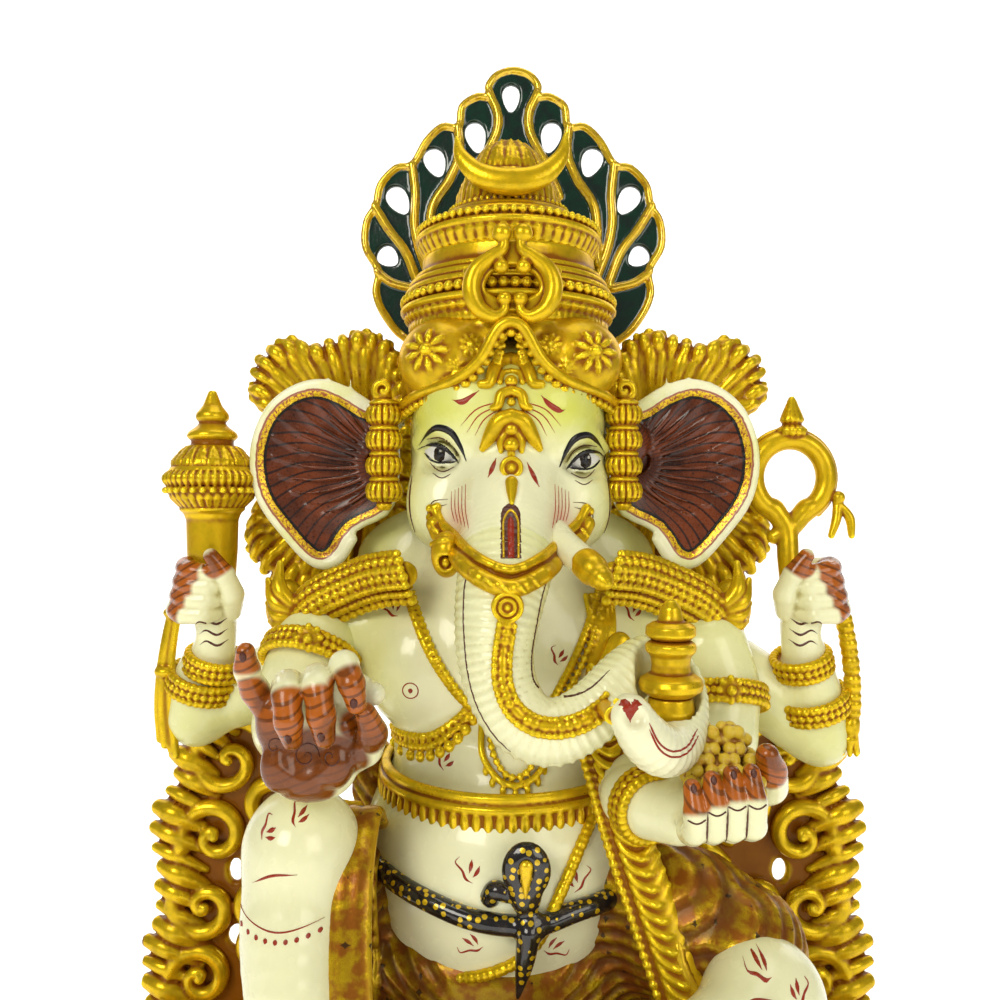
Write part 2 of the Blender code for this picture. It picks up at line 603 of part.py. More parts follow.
# ---------------------------------------------------------------- lower body
def build_lower_body():
    node("leg_right", IVORY, [
        Tube([(-69, -44, 150, 19.0), (-70, -56, 128, 16.5), (-66, -66, 104, 14.5), (-63, -70, 86, 12.5)],
             sides=10),
        Ball((-69, -46, 155), (18, 20, 20), sides=12, rings=8),
        Ball((-62, -82, 80.5), (13, 23, 8.0), sides=12, rings=7)])
    node("leg_left", IVORY, [
        Tube([(80, -60, 111, 17.5), (66, -72, 105, 16.5), (38, -80, 97, 14.5), (20, -82, 90, 12.0)],
             sides=12),
        Ball((81, -56, 112), (18, 20, 18), sides=12, rings=8),
        Ball((4, -84, 81), (22, 13, 8.4), sides=12, rings=7)])
    node("dhoti", GOLD, [
        Ball((0, 18, 100), (74, 56, 30), sides=18, rings=10),
        Tube([(-48, 14, 108, 25.0), (-66, -16, 130, 21.0), (-70, -36, 144, 20.0)], sides=10),
        Tube([(38, 10, 108, 28.0), (62, -22, 118, 26.0), (80, -44, 120, 21.0)], sides=10),
        Slab([(70, 54, SEAT_TOP + GAP), (76, 58, 80.0), (66, 50, 96.0)], sides=20, centre=(0.0, 10.0)),
        Tube([(-51, -14, 150, 7.0), (-51, -36, 161, 6.5), (-51, -56, 150, 7.0), (-50, -65, 130, 7.5),
              (-48, -71, 104, 7.5), (-46, -73, 84, 6.5)], sides=8)])
    node("anklet_right", GOLD, [Turned(
        (-64.5, -69, 93), [(14.4, -3), (15.6, -1.5), (15.6, 1.5), (14.4, 3)], sides=14, tip=(12, 8, 0))])
    node("anklet_left", GOLD, [Turned(
        (27, -81, 93), [(14.2, -3), (15.4, -1.5), (15.4, 1.5), (14.2, 3)], sides=14, tip=(0, 68, 6))])


# ------------------------------------------------------------------ backdrop
def build_backdrop():
    scroll = [(-76, LOTUS_TOP + GAP), (-146, LOTUS_TOP + GAP), (-152, 80), (-146, 100), (-144, 122),
              (-147, 140), (-138, 160), (-128, 176), (-112, 184), (-98, 178), (-86, 160), (-80, 130),
              (-76, 100)]
    plume = [(-70, 225), (-84, 228), (-98, 240), (-108, 252), (-106, 266), (-96, 274), (-96, 300),
             (-107, 318), (-103, 331), (-90, 336), (-76, 334), (-64, 338), (-52, 337), (-44, 322),
             (-40, 300), (-42, 260)]
    drape = [(128, 240, 3.5), (131, 225, 3.5), (134, 207, 4.0), (135, 190, 4.5), (133, 174, 4.0)]
    for side, label in ((-1, "right"), (1, "left")):
        mirror = None if side < 0 else 0.0
        holes = [oval((side * 116, 112), 3.0, 5.0, SCROLL_Y),
                 oval((side * 115, 84), 4.5, 5.0, SCROLL_Y),
                 oval((side * 94, 70), 4.0, 4.0, SCROLL_Y)]
        node("scroll_frame_" + label, GOLD, [Plate(scroll, SCROLL_Y, mirror_x=mirror)], holes=holes)
        node("shoulder_plume_" + label, GOLD, [Plate(plume, PLUME_Y, mirror_x=mirror)])
        node("arm_scarf_" + label, GOLD, [Tube([
            (side * x, 9.0, z, radius) for x, z, radius in drape], sides=8, flat=0.6)])


def main():
    for old in list(bpy.data.objects):
        bpy.data.objects.remove(old)
    build_base()
    build_pins()
    build_figure()
    build_crown()
    build_face_ornaments()
    build_back_arms()
    build_front_arms()
    build_pot()
    build_lower_body()
    build_body_ornaments()
    build_backdrop()


main()
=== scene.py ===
"""Painted cast-marble Ganesha idol: the finish of every casting, around a fixed frame.

The castings are shaped like clay: balls, bars and turned forms are pressed together in
a block of signed distances, and the skin of the block becomes the mesh.  Painted lines
are thin strokes laid on that skin.  Sizes in the shaping code are millimetres.
"""

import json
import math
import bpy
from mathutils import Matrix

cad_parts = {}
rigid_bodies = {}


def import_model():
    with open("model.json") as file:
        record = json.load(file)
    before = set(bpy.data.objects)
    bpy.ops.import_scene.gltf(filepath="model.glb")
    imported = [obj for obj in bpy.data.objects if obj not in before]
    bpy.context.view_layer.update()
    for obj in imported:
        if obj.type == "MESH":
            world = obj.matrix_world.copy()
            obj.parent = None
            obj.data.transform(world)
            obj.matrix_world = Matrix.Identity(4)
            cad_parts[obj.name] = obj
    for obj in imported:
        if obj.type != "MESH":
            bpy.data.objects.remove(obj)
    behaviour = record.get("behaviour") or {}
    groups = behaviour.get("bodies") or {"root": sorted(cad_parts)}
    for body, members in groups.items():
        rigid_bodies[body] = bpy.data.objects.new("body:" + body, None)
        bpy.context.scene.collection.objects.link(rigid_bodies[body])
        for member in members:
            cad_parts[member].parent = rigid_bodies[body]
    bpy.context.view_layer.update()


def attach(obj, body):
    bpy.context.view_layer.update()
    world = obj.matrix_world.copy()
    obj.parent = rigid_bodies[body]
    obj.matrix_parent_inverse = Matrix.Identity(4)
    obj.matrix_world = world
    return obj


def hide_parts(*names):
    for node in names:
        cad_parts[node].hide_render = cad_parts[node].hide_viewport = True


bl_info = {
    "name": "Ganesha Idol",
    "version": (1, 0, 0),
    "blender": (4, 5, 0),
    "location": "View3D > Sidebar > Idol",
    "description": "Builds a seated, painted cast-marble Ganesha idol on its lotus plinth",
    "category": "Add Mesh",
}

import bpy
import numpy as np
import openvdb
from bpy.props import FloatProperty, FloatVectorProperty, PointerProperty
from mathutils import Euler, Vector
from mathutils.bvhtree import BVHTree

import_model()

MM = 0.001
FAR = 30.0                  # what an empty block holds: well outside every surface
TAU = 2 * math.pi
SIDES = ((-1, "right"), (1, "left"))        # the idol's own right hand is at -X


# ------------------------------------------------------------------ the clay
def smooth_route(points, spacing):
    """Evenly spaced stations on a smooth curve through the points; extra columns follow."""
    points = np.array(points, float)
    ends = np.vstack([2 * points[0] - points[1], points, 2 * points[-1] - points[-2]])
    steps = []
    t = np.linspace(0, 1, 12, endpoint=False)[:, None]
    for a, b, c, d in zip(ends, ends[1:], ends[2:], ends[3:]):
        steps.append(0.5 * (2 * b + (c - a) * t + (2 * a - 5 * b + 4 * c - d) * t * t
                            + (3 * b - a - 3 * c + d) * t ** 3))
    steps = np.vstack(steps + [points[-1:]])
    lengths = np.linalg.norm(np.diff(steps[:, :3], axis=0), axis=1)
    along = np.concatenate([[0.0], np.cumsum(lengths)])
    count = max(2, int(round(along[-1] / spacing)) + 1)
    where = np.linspace(0, along[-1], count)
    return np.stack([np.interp(where, along, column) for column in steps.T], axis=1)


def flat_route(points, spacing):
    """Evenly spaced stations (x, 0, z) on a smooth curve through (x, z) points."""
    return smooth_route([(x, 0, z) for x, z in points], spacing)


def turning(angles):
    """A 3x3 matrix that turns by angles in degrees about X, Y and Z."""
    return np.array(Euler([math.radians(angle) for angle in angles]).to_matrix(), np.float32)


forms = {}                  # finished blocks that later ornaments are laid on


class Clay:
    """A block of clay: signed distances, in millimetres, on an even grid."""

    def __init__(self, low, high, step):
        self.low = np.array(low, np.float32)
        self.step = step
        shape = [int(math.ceil((b - a) / step)) + 1 for a, b in zip(low, high)]
        self.field = np.full(shape, FAR, np.float32)

    @classmethod
    def about(cls, points, margin, step):
        """A block that holds some points (x, y, z) with a margin round them."""
        points = np.array([tuple(point[:3]) for point in points], float)
        return cls(points.min(0) - margin, points.max(0) + margin, step)

    def front(self, x, z):
        """How far forward the surface stands at (x, z): the Y of its first skin."""
        i, k = (int(round((v - self.low[n]) / self.step)) for v, n in ((x, 0), (z, 2)))
        i, k = (min(max(v, 0), self.field.shape[n] - 1) for v, n in ((i, 0), (k, 2)))
        column = self.field[i, :, k]
        inside = np.nonzero(column < 0)[0]
        if not len(inside) or not inside[0]:
            return None
        j = inside[0]
        part = column[j - 1] / (column[j - 1] - column[j])
        return float(self.low[1] + self.step * (j - 1 + part))

    def laid(self, points, lift=0.3):
        """Points (x, z, radius) moved forward onto the surface, `lift` radii proud of it."""
        out = []
        for x, z, radius in points:
            y = self.front(x, z)
            if y is not None:
                out.append((x, y - lift * radius, z, radius))
        return out

    def trail(self, route, radius, lift):
        """The stations of a route moved forward onto the surface, all with one radius."""
        return self.laid([(p[0], p[2], radius) for p in route], lift)

    def window(self, low, high):
        """The slices and the X, Y, Z of the part of the block between two corners."""
        slices = []
        axes = []
        for k in range(3):
            first = max(int(math.floor((low[k] - self.low[k]) / self.step)), 0)
            last = min(int(math.ceil((high[k] - self.low[k]) / self.step)) + 1, self.field.shape[k])
            if last <= first:
                return None
            slices.append(slice(first, last))
            axes.append(self.low[k] + self.step * np.arange(first, last, dtype=np.float32))
        return tuple(slices), axes[0][:, None, None], axes[1][None, :, None], axes[2][None, None, :]

    def press(self, slices, distance, blend, cut=False):
        """Join a shape to the clay, or cut it away, with a soft seam `blend` wide."""
        old = self.field[slices]
        if cut:
            old = -old
        h = np.clip(0.5 + 0.5 * (old - distance) / max(blend, 1e-3), 0, 1)
        new = old + (distance - old) * h - blend * h * (1 - h)
        self.field[slices] = -new if cut else new

    def ball(self, centre, radii, turn=None, blend=1.0, cut=False):
        """An ellipsoid, tipped by `turn` degrees about X, Y and Z."""
        radii = np.array(radii, np.float32) * np.ones(3, np.float32)
        reach = radii if turn is None else np.full(3, radii.max())
        pad = blend + 3 * self.step
        spot = self.window(np.array(centre) - reach - pad, np.array(centre) + reach + pad)
        if spot is None:
            return
        slices, x, y, z = spot
        x, y, z = x - centre[0], y - centre[1], z - centre[2]
        if turn is not None:
            m = turning(turn)
            x, y, z = (m[0][k] * x + m[1][k] * y + m[2][k] * z for k in range(3))
        near = np.sqrt((x / radii[0]) ** 2 + (y / radii[1]) ** 2 + (z / radii[2]) ** 2)
        slope = np.sqrt((x / radii[0] ** 2) ** 2 + (y / radii[1] ** 2) ** 2 + (z / radii[2] ** 2) ** 2)
        distance = near * (near - 1) / np.maximum(slope, 1e-6)
        self.press(slices, distance.astype(np.float32), blend, cut)

    def tube(self, points, blend=1.0, flat=(1, 1, 1), spacing=None, ripple=None, smooth=True):
        """A bar through points (x, y, z, radius); `flat` squeezes it along an axis, and
        `ripple` gives the radius a change from the distance along it."""
        widest = max(point[3] for point in points)
        gap = spacing or max(widest * 0.35, self.step * 1.5)
        route = smooth_route(points, gap) if smooth else np.array(points, float)
        squeeze = np.array(flat, float)
        pad = blend + 3 * self.step
        reach = widest * squeeze + pad
        spot = self.window(route[:, :3].min(0) - reach, route[:, :3].max(0) + reach)
        if spot is None:
            return
        slices, x, y, z = spot
        shape = self.field[slices].shape
        best = np.full(shape, FAR, np.float32)
        corner = [s.start for s in slices]
        travelled = 0.0
        for a, b in zip(route, route[1:]):
            part = self.window(np.minimum(a, b)[:3] - reach, np.maximum(a, b)[:3] + reach)
            length = float(np.linalg.norm((b - a)[:3]))
            if part is not None:
                inner, px, py, pz = part
                inner = tuple(slice(s.start - c, s.stop - c) for s, c in zip(inner, corner))
                run = (b - a)[:3] / squeeze
                px, py, pz = ((p - a[k]) / squeeze[k] for k, p in enumerate((px, py, pz)))
                t = np.clip((px * run[0] + py * run[1] + pz * run[2]) / max(run @ run, 1e-9), 0, 1)
                radius = a[3] + (b[3] - a[3]) * t
                if ripple is not None:
                    radius = radius + ripple(travelled + t * length)
                near = np.sqrt((px - run[0] * t) ** 2 + (py - run[1] * t) ** 2 + (pz - run[2] * t) ** 2)
                distance = ((near - radius) * squeeze.min()).astype(np.float32)
                best[inner] = np.minimum(best[inner], distance)
            travelled += length
        self.press(slices, best, blend)

    def turned(self, centre, steps, blend=1.0, relief=None, cut=False):
        """A form turned about an upright axis; `steps` are (radius, height) from the foot up,
        and `relief` raises the surface by a height that depends on angle and height."""
        outline = np.array([(0.0, steps[0][1])] + list(steps) + [(0.0, steps[-1][1])], float)
        widest = outline[:, 0].max() + 4
        foot, top = outline[:, 1].min() - 4, outline[:, 1].max() + 4
        low = np.array(centre) + (-widest, -widest, foot)
        high = np.array(centre) + (widest, widest, top)
        spot = self.window(low, high)
        if spot is None:
            return
        slices, x, y, z = spot
        x, y, z = x - centre[0], y - centre[1], z - centre[2]
        out = np.sqrt(x * x + y * y)
        fine = self.step * 0.5
        radii = np.arange(0, widest + fine, fine)
        heights = np.arange(foot, top + fine, fine)
        table = outline_distance(outline, radii[:, None], heights[None, :])
        u = np.clip(out / fine, 0, len(radii) - 1.001)
        v = np.clip((z - foot) / fine, 0, len(heights) - 1.001)
        u, v = np.broadcast_arrays(u, v)
        i, j = u.astype(np.int32), v.astype(np.int32)
        u, v = u - i, v - j
        distance = (table[i, j] * (1 - u) * (1 - v) + table[i + 1, j] * u * (1 - v)
                    + table[i, j + 1] * (1 - u) * v + table[i + 1, j + 1] * u * v)
        if relief is not None:
            distance = distance - relief(np.arctan2(y, x), z, out)
        self.press(slices, distance.astype(np.float32), blend, cut)

    def plate(self, outline, front, back, round_off, holes=(), blend=0.5):
        """An upright plate: an outline of (x, z) between two depths, with rounded edges."""
        pad = blend + 3 * self.step
        low = (outline[:, 0].min() - pad, front - pad - 4, outline[:, 1].min() - pad)
        high = (outline[:, 0].max() + pad, back + pad + 4, outline[:, 1].max() + pad)
        slices, x, y, z = self.window(low, high)
        flat = outline_distance(outline, x[:, 0, :], z[0])
        for hole in holes:
            flat = np.maximum(flat, -outline_distance(hole, x[:, 0, :], z[0]))
        flat = flat[:, None, :]
        half = (back - front) / 2
        depth = np.abs(y - (front + back) / 2) - half
        a, b = flat + round_off, depth + round_off
        distance = (np.minimum(np.maximum(a, b), 0)
                    + np.sqrt(np.maximum(a, 0) ** 2 + np.maximum(b, 0) ** 2) - round_off)
        self.press(slices, distance.astype(np.float32), blend)

    def pleat(self, low, high, phase, height):
        """Fold the cloth between two corners: ridges where `phase` passes each whole number."""
        slices, x, y, z = self.window(low, high)
        wave = np.abs(((phase(x, y, z) + 0.5) % 1.0) * 2 - 1)
        soft = 1.0
        for k, axis in enumerate((x, y, z)):
            soft = soft * np.clip(np.minimum(axis - low[k], high[k] - axis) / 5, 0, 1)
        self.field[slices] += (height * (0.5 - wave ** 1.5) * soft).astype(np.float32)

    def hollow(self, reach):
        """How proud the surface stands of its surroundings, -1 in a groove to 1 on a ridge."""
        soft = np.clip(self.field, -reach, reach)
        width = max(1, int(round(reach / self.step)))
        for axis in range(3):
            total = soft.copy()
            for shift in range(1, width + 1):
                total += np.roll(soft, shift, axis) + np.roll(soft, -shift, axis)
            soft = total / (2 * width + 1)
        return soft / (reach * 0.5)

    def sample(self, grid, points):
        """Values at points of a grid that matches the block's, blended between its cells."""
        place = (points - self.low) / self.step
        base = np.clip(np.floor(place).astype(np.int32), 0, np.array(grid.shape) - 2)
        part = np.clip(place - base, 0, 1)
        total = 0.0
        for corner in np.ndindex(2, 2, 2):
            weight = np.prod([part[:, k] if corner[k] else 1 - part[:, k] for k in range(3)], axis=0)
            total = total + weight * grid[tuple(base[:, k] + corner[k] for k in range(3))]
        return total

    def skin(self, name, look, wash_and_shading, part=None, **zones):
        """The surface as a Blender object.  Its `wash_and_shading` attribute says how proud each point
        stands within that reach, for washes, painted shade in hollows and painted highlight on ridges;
        each zone is a function of x, y and z, stored under its name; `part` keeps only the faces
        where it holds."""
        grid = openvdb.FloatGrid(FAR)
        grid.copyFromArray(self.field)
        points, quads = grid.convertToQuads(0.0)
        points = points * self.step + self.low
        a, b, c = (points[quads[:, k]] for k in range(3))
        if np.einsum("ij,ij->i", a, np.cross(b, c)).sum() < 0:
            quads = quads[:, ::-1]
        if part is not None:
            quads = quads[part(*points[quads].mean(axis=1).T)]
            used, quads = np.unique(quads, return_inverse=True)
            points = points[used]
            quads = quads.reshape(-1, 4)
        piece = mesh_piece(name, points * MM, quads, look)
        store(piece, "wash_and_shading", self.sample(self.hollow(wash_and_shading), points))
        for zone, values in zones.items():
            store(piece, zone, values(*points.T))
        return piece


def hoop(centre, radius, tip, steps=40, lift=0.0):
    """A closed ring of points (x, y, z) round a limb, tipped by degrees about X, Y and Z."""
    matrix = turning(tip).astype(float)
    wide, deep = radius if isinstance(radius, tuple) else (radius, radius)
    angles = TAU * np.arange(steps + 1) / steps
    local = np.stack([wide * np.cos(angles), deep * np.sin(angles), 0 * angles + lift], axis=1)
    return [tuple(point) for point in np.array(centre) + local @ matrix.T]


def twist(pitch, depth):
    """The ripple of a twisted cord."""
    return lambda distance: (depth * np.sin(distance * TAU / pitch)).astype(np.float32)


def outline_distance(outline, x, z):
    """Signed distance from (x, z) to a closed outline, negative inside it."""
    best = np.full(np.broadcast(x, z).shape, 1e9)
    inside = np.zeros(best.shape, bool)
    for a, b in zip(outline, np.roll(outline, -1, axis=0)):
        run = b - a
        if not run.any():
            continue
        t = np.clip(((x - a[0]) * run[0] + (z - a[1]) * run[1]) / (run @ run), 0, 1)
        best = np.minimum(best, (x - a[0] - run[0] * t) ** 2 + (z - a[1] - run[1] * t) ** 2)
        if a[1] != b[1]:
            crossing = (z < a[1]) != (z < b[1])
            inside ^= crossing & (x < a[0] + (z - a[1]) / (b[1] - a[1]) * run[0])
    best = np.sqrt(best)
    return np.where(inside, -best, best)


def rounded(points, steps):
    """A closed outline drawn as a smooth curve through its points."""
    points = np.array(points, float)
    count = len(points)
    t = np.linspace(0, 1, steps, endpoint=False)[:, None]
    out = []
    for k in range(count):
        a, b, c, d = (points[(k + j) % count] for j in (-1, 0, 1, 2))
        out.append(0.5 * (2 * b + (c - a) * t + (2 * a - 5 * b + 4 * c - d) * t * t
                          + (3 * b - a - 3 * c + d) * t ** 3))
    return np.vstack(out)


def flipped(points, middle=0.0):
    """The same points on the other side of the upright plane at x = middle."""
    return [(2 * middle - point[0],) + tuple(point[1:]) for point in points]


def spiral(centre, start, turns, radius, shrink, width, depth, lift):
    """Stations (x, y, z, width) that curl inwards in the X-Z plane."""
    steps = 18
    stations = []
    for step in range(steps + 1):
        t = step / steps
        angle = start + turns * TAU * t
        reach = radius * (1 - t) + shrink * t
        stations.append((centre[0] + reach * math.cos(angle), depth + lift * t,
                         centre[1] + reach * math.sin(angle), width * (1 - 0.45 * t)))
    return stations


# ------------------------------------------------------------- making pieces
def store(piece, name, values):
    """One number for each vertex, for the material to read."""
    attribute = piece.data.attributes.new(name, "FLOAT", "POINT")
    attribute.data.foreach_set("value", np.ascontiguousarray(values, np.float32))


def mesh_piece(name, points, faces, look):
    """A smooth-shaded object from points in metres and faces with equal corner counts."""
    faces = np.array(faces, np.int32)
    mesh = bpy.data.meshes.new(name)
    mesh.vertices.add(len(points))
    mesh.vertices.foreach_set("co", np.ascontiguousarray(points, np.float32).ravel())
    mesh.loops.add(faces.size)
    mesh.loops.foreach_set("vertex_index", faces.ravel())
    mesh.polygons.add(len(faces))
    mesh.polygons.foreach_set("loop_start", np.arange(len(faces), dtype=np.int32) * faces.shape[1])
    mesh.update(calc_edges=True)
    mesh.validate()
    mesh.shade_smooth()
    piece = bpy.data.objects.new(name, mesh)
    bpy.context.scene.collection.objects.link(piece)
    mesh.materials.append(bpy.data.materials[look])
    return piece


def settle(piece, slot, *nodes):
    """Fix a piece to the idol's one body, in place of its castings in the frame."""
    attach(piece, "root")
    if nodes:
        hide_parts(*nodes)
    return piece


def gild(clay, name, wash_and_shading, *nodes, **zones):
    """The clay as a gold-painted casting."""
    settle(clay.skin(name, "cast_gold", wash_and_shading=wash_and_shading, **zones), "gold_paint", *nodes)


def carve(clay, name, wash_and_shading, *nodes, **zones):
    """The clay as an ivory-lacquered casting."""
    settle(clay.skin(name, "ivory_skin", wash_and_shading=wash_and_shading, **zones), "ivory_marble", *nodes)


BRUSH_Y = -160.0            # every stroke is aimed backwards from here, well before the idol


class Brush:
    """Paints strokes on the front of finished pieces: thin raised ribbons that follow them."""

    def __init__(self, *pieces):
        points = []
        faces = []
        for piece in pieces:
            mesh = piece.data
            start = len(points)
            points += [tuple(v.co) for v in mesh.vertices]
            faces += [tuple(start + k for k in p.vertices) for p in mesh.polygons]
        self.tree = BVHTree.FromPolygons(points, faces)
        self.points = []
        self.faces = []

    def stroke(self, points, width, lift=0.14, taper=(0.25, 0.25), across=4, spacing=0.6):
        """A line through (x, z) points as seen from the front; `taper` thins its two ends.
        A third number in a point widens or narrows the line there."""
        route = smooth_route([(p[0], 0.0, p[1], p[2] if len(p) > 2 else 1.0) for p in points], spacing)
        count = len(route)
        ahead = np.gradient(route[:, [0, 2]], axis=0)
        ahead /= np.maximum(np.linalg.norm(ahead, axis=1), 1e-6)[:, None]
        rows = []
        for k in range(count):
            t = k / (count - 1)
            size = width * max(route[k, 3], 0.05)
            size *= min(1.0, 0.12 + t / max(taper[0], 1e-3)) if taper[0] else 1.0
            size *= min(1.0, 0.12 + (1 - t) / max(taper[1], 1e-3)) if taper[1] else 1.0
            row = []
            for step in range(across + 1):
                s = step / across * 2 - 1
                x = route[k, 0] - ahead[k, 1] * s * size / 2
                z = route[k, 2] + ahead[k, 0] * s * size / 2
                start = Vector((x, BRUSH_Y, z)) * MM
                spot, normal, _, _ = self.tree.ray_cast(start, Vector((0, 1, 0)))
                if spot is None:
                    row = None
                    break
                row.append(spot + normal * MM * (lift * (1 - s * s) * 1.6 - 0.05 + 0.05 * (abs(s) < 1)))
            rows.append(row)
        for here, there in zip(rows, rows[1:]):
            if here is None or there is None:
                continue
            if max((a - b).length for a, b in zip(here, there)) > 4 * MM * max(spacing, 1):
                continue
            start = len(self.points)
            self.points += here + there
            side = across + 1
            self.faces += [(start + k, start + k + 1, start + side + k + 1, start + side + k)
                           for k in range(across)]

    def disc(self, x, z, radius, lift=0.2, wide=1.0):
        """A round dot, or an oval one `wide` times as wide as it is high."""
        spots = []
        for k in range(9):
            t = math.sin(math.pi * (k / 8 - 0.5)) * 0.995
            spots.append((x, z + radius * t, math.sqrt(1 - t * t) * wide))
        self.stroke(spots, 2 * radius, lift, (0, 0), 8, radius / 4)

    def finish(self, name, look, slot="ivory_marble"):
        """All the strokes so far as one piece."""
        piece = mesh_piece(name, np.array([tuple(p) for p in self.points]), self.faces, look)
        self.points = []
        self.faces = []
        return settle(piece, slot)


# ------------------------------------------------------------- shader maths
class Sock:
    """A shader socket; sums on it add Math nodes."""

    def __init__(self, look, socket):
        self.look = look
        self.socket = socket

    def math(self, operation, *others):
        values = dict(enumerate((self,) + others))
        return self.look.add("ShaderNodeMath", {"operation": operation}, values)

    def __add__(self, other):
        return self.math("ADD", other)

    def __mul__(self, other):
        return self.math("MULTIPLY", other)

    def __sub__(self, other):
        return self.math("SUBTRACT", other)

    def __rsub__(self, other):
        return self.math("MULTIPLY_ADD", -1.0, other)

    def __abs__(self):
        return self.math("ABSOLUTE")

    __radd__ = __add__
    __rmul__ = __mul__

    def ramp(self, low, high, out_low=0.0, out_high=1.0):
        """A soft step from one value to another."""
        return self.look.add("ShaderNodeMapRange", {"interpolation_type": "SMOOTHSTEP"},
                             {0: self, 1: low, 2: high, 3: out_low, 4: out_high})


class Look:
    """One material: a Principled shader and the sums that feed it."""

    def __init__(self, name, roughness=0.3, metallic=0.0, **constants):
        self.material = bpy.data.materials.new(name)
        self.material.use_nodes = True
        self.tree = self.material.node_tree
        self.shader = self.tree.nodes["Principled BSDF"]
        self.shader.inputs["Roughness"].default_value = roughness
        self.shader.inputs["Metallic"].default_value = metallic
        self.shader.inputs["Specular IOR Level"].default_value = 0.3
        for socket, value in constants.items():
            self.shader.inputs[socket.replace("_", " ").title()].default_value = value

    def add(self, kind, settings=None, inputs=None, output=0):
        """Any node: its settings first, then the values or links of its sockets."""
        node = self.tree.nodes.new(kind)
        for key, value in (settings or {}).items():
            setattr(node, key, value)
        for key, value in (inputs or {}).items():
            self.feed(node.inputs[key], value)
        return Sock(self, node.outputs[output])

    def feed(self, socket, value):
        """Link a socket, or set it."""
        if isinstance(value, Sock):
            self.tree.links.new(value.socket, socket)
        elif socket.type == "RGBA" and len(value) == 3:
            socket.default_value = (*value, 1.0)
        else:
            socket.default_value = value

    def place(self):
        return self.add("ShaderNodeTexCoord", output="Object")

    def zone(self, name):
        return self.add("ShaderNodeAttribute", {"attribute_name": name}, output="Fac")

    def noise(self, size, detail=3.0, roughness=0.55):
        """Noise from 0 to 1 with features about `size` millimetres across."""
        return self.add("ShaderNodeTexNoise", {}, {
            "Vector": self.place(), "Scale": 1.0 / (size * MM), "Detail": detail, "Roughness": roughness})

    def mix(self, low, high, mask):
        """From one colour to another, as the mask goes from 0 to 1."""
        return self.add("ShaderNodeMix", {"data_type": "RGBA"}, {0: mask, 6: low, 7: high}, output=2)

    def colour(self, value):
        self.feed(self.shader.inputs["Base Color"], value)

    def roughness(self, value):
        self.feed(self.shader.inputs["Roughness"], value)

    def metallic(self, value):
        self.feed(self.shader.inputs["Metallic"], value)

    def bump(self, height, depth):
        """Bump from a height that runs from 0 to 1, `depth` millimetres deep."""
        normal = self.add("ShaderNodeBump", {}, {
            "Strength": 1.0, "Distance": depth * MM, "Height": height}, output="Normal")
        self.feed(self.shader.inputs["Normal"], normal)


# ------------------------------------------------------------------ settings
def tone(name, description, value):
    """A colour property."""
    return FloatVectorProperty(name=name, description=description, default=value, size=3,
                               subtype="COLOR", min=0.0, max=1.0)


class IdolColours(bpy.types.PropertyGroup):
    """The paints of the idol."""
    ivory: tone("Ivory", "Lacquered cast marble of the skin", (0.88, 0.87, 0.58))
    # Sprayed on the forehead; on the flanks, backs and lower limbs it is painted shade.
    airbrush_and_shade: tone("Airbrush", "Yellow-green mist on the forehead and shaded skin", (0.66, 0.68, 0.12))
    blush: tone("Blush", "Pink mist on the cheeks", (0.72, 0.16, 0.14))
    henna: tone("Henna", "Orange-brown stain of the fingers and palms", (0.42, 0.105, 0.006))
    gold: tone("Gold", "Gold paint on raised metalwork", (0.80, 0.53, 0.012))
    # Red-brown of the gold's hollows: an antiquing wash, deepened as painted shade.
    wash_and_shading: tone("Wash", "Red-brown wash in the hollows of the gold", (0.20, 0.040, 0.003))
    green: tone("Green", "Enamel of the feather fan", (0.002, 0.026, 0.013))
    ear_red: tone("Ear red", "Red-brown inside the ears", (0.17, 0.036, 0.008))
    black: tone("Black", "Black enamel of the serpent and the lids", (0.010, 0.009, 0.009))
    red: tone("Red", "Red line paint", (0.30, 0.024, 0.006))
    brown: tone("Brown", "Brown line paint", (0.085, 0.022, 0.012))
    sweet: tone("Sweets", "Milk sweets in the open hand", (0.66, 0.47, 0.03))


class IdolSizes(bpy.types.PropertyGroup):
    """Sizes that a caster would change."""
    line_width: FloatProperty(
        name="Line width", description="Width of the painted lines", default=0.6 * MM,
        subtype="DISTANCE", unit="LENGTH", min=0.2 * MM, max=2 * MM)


def colours():
    return bpy.context.scene.idol_colours


def sizes():
    return bpy.context.scene.idol_sizes


# ------------------------------------------------------------------ finishes
def shade(colour, factor):
    """A colour made lighter or darker."""
    return tuple(min(1.0, part * factor) for part in colour)


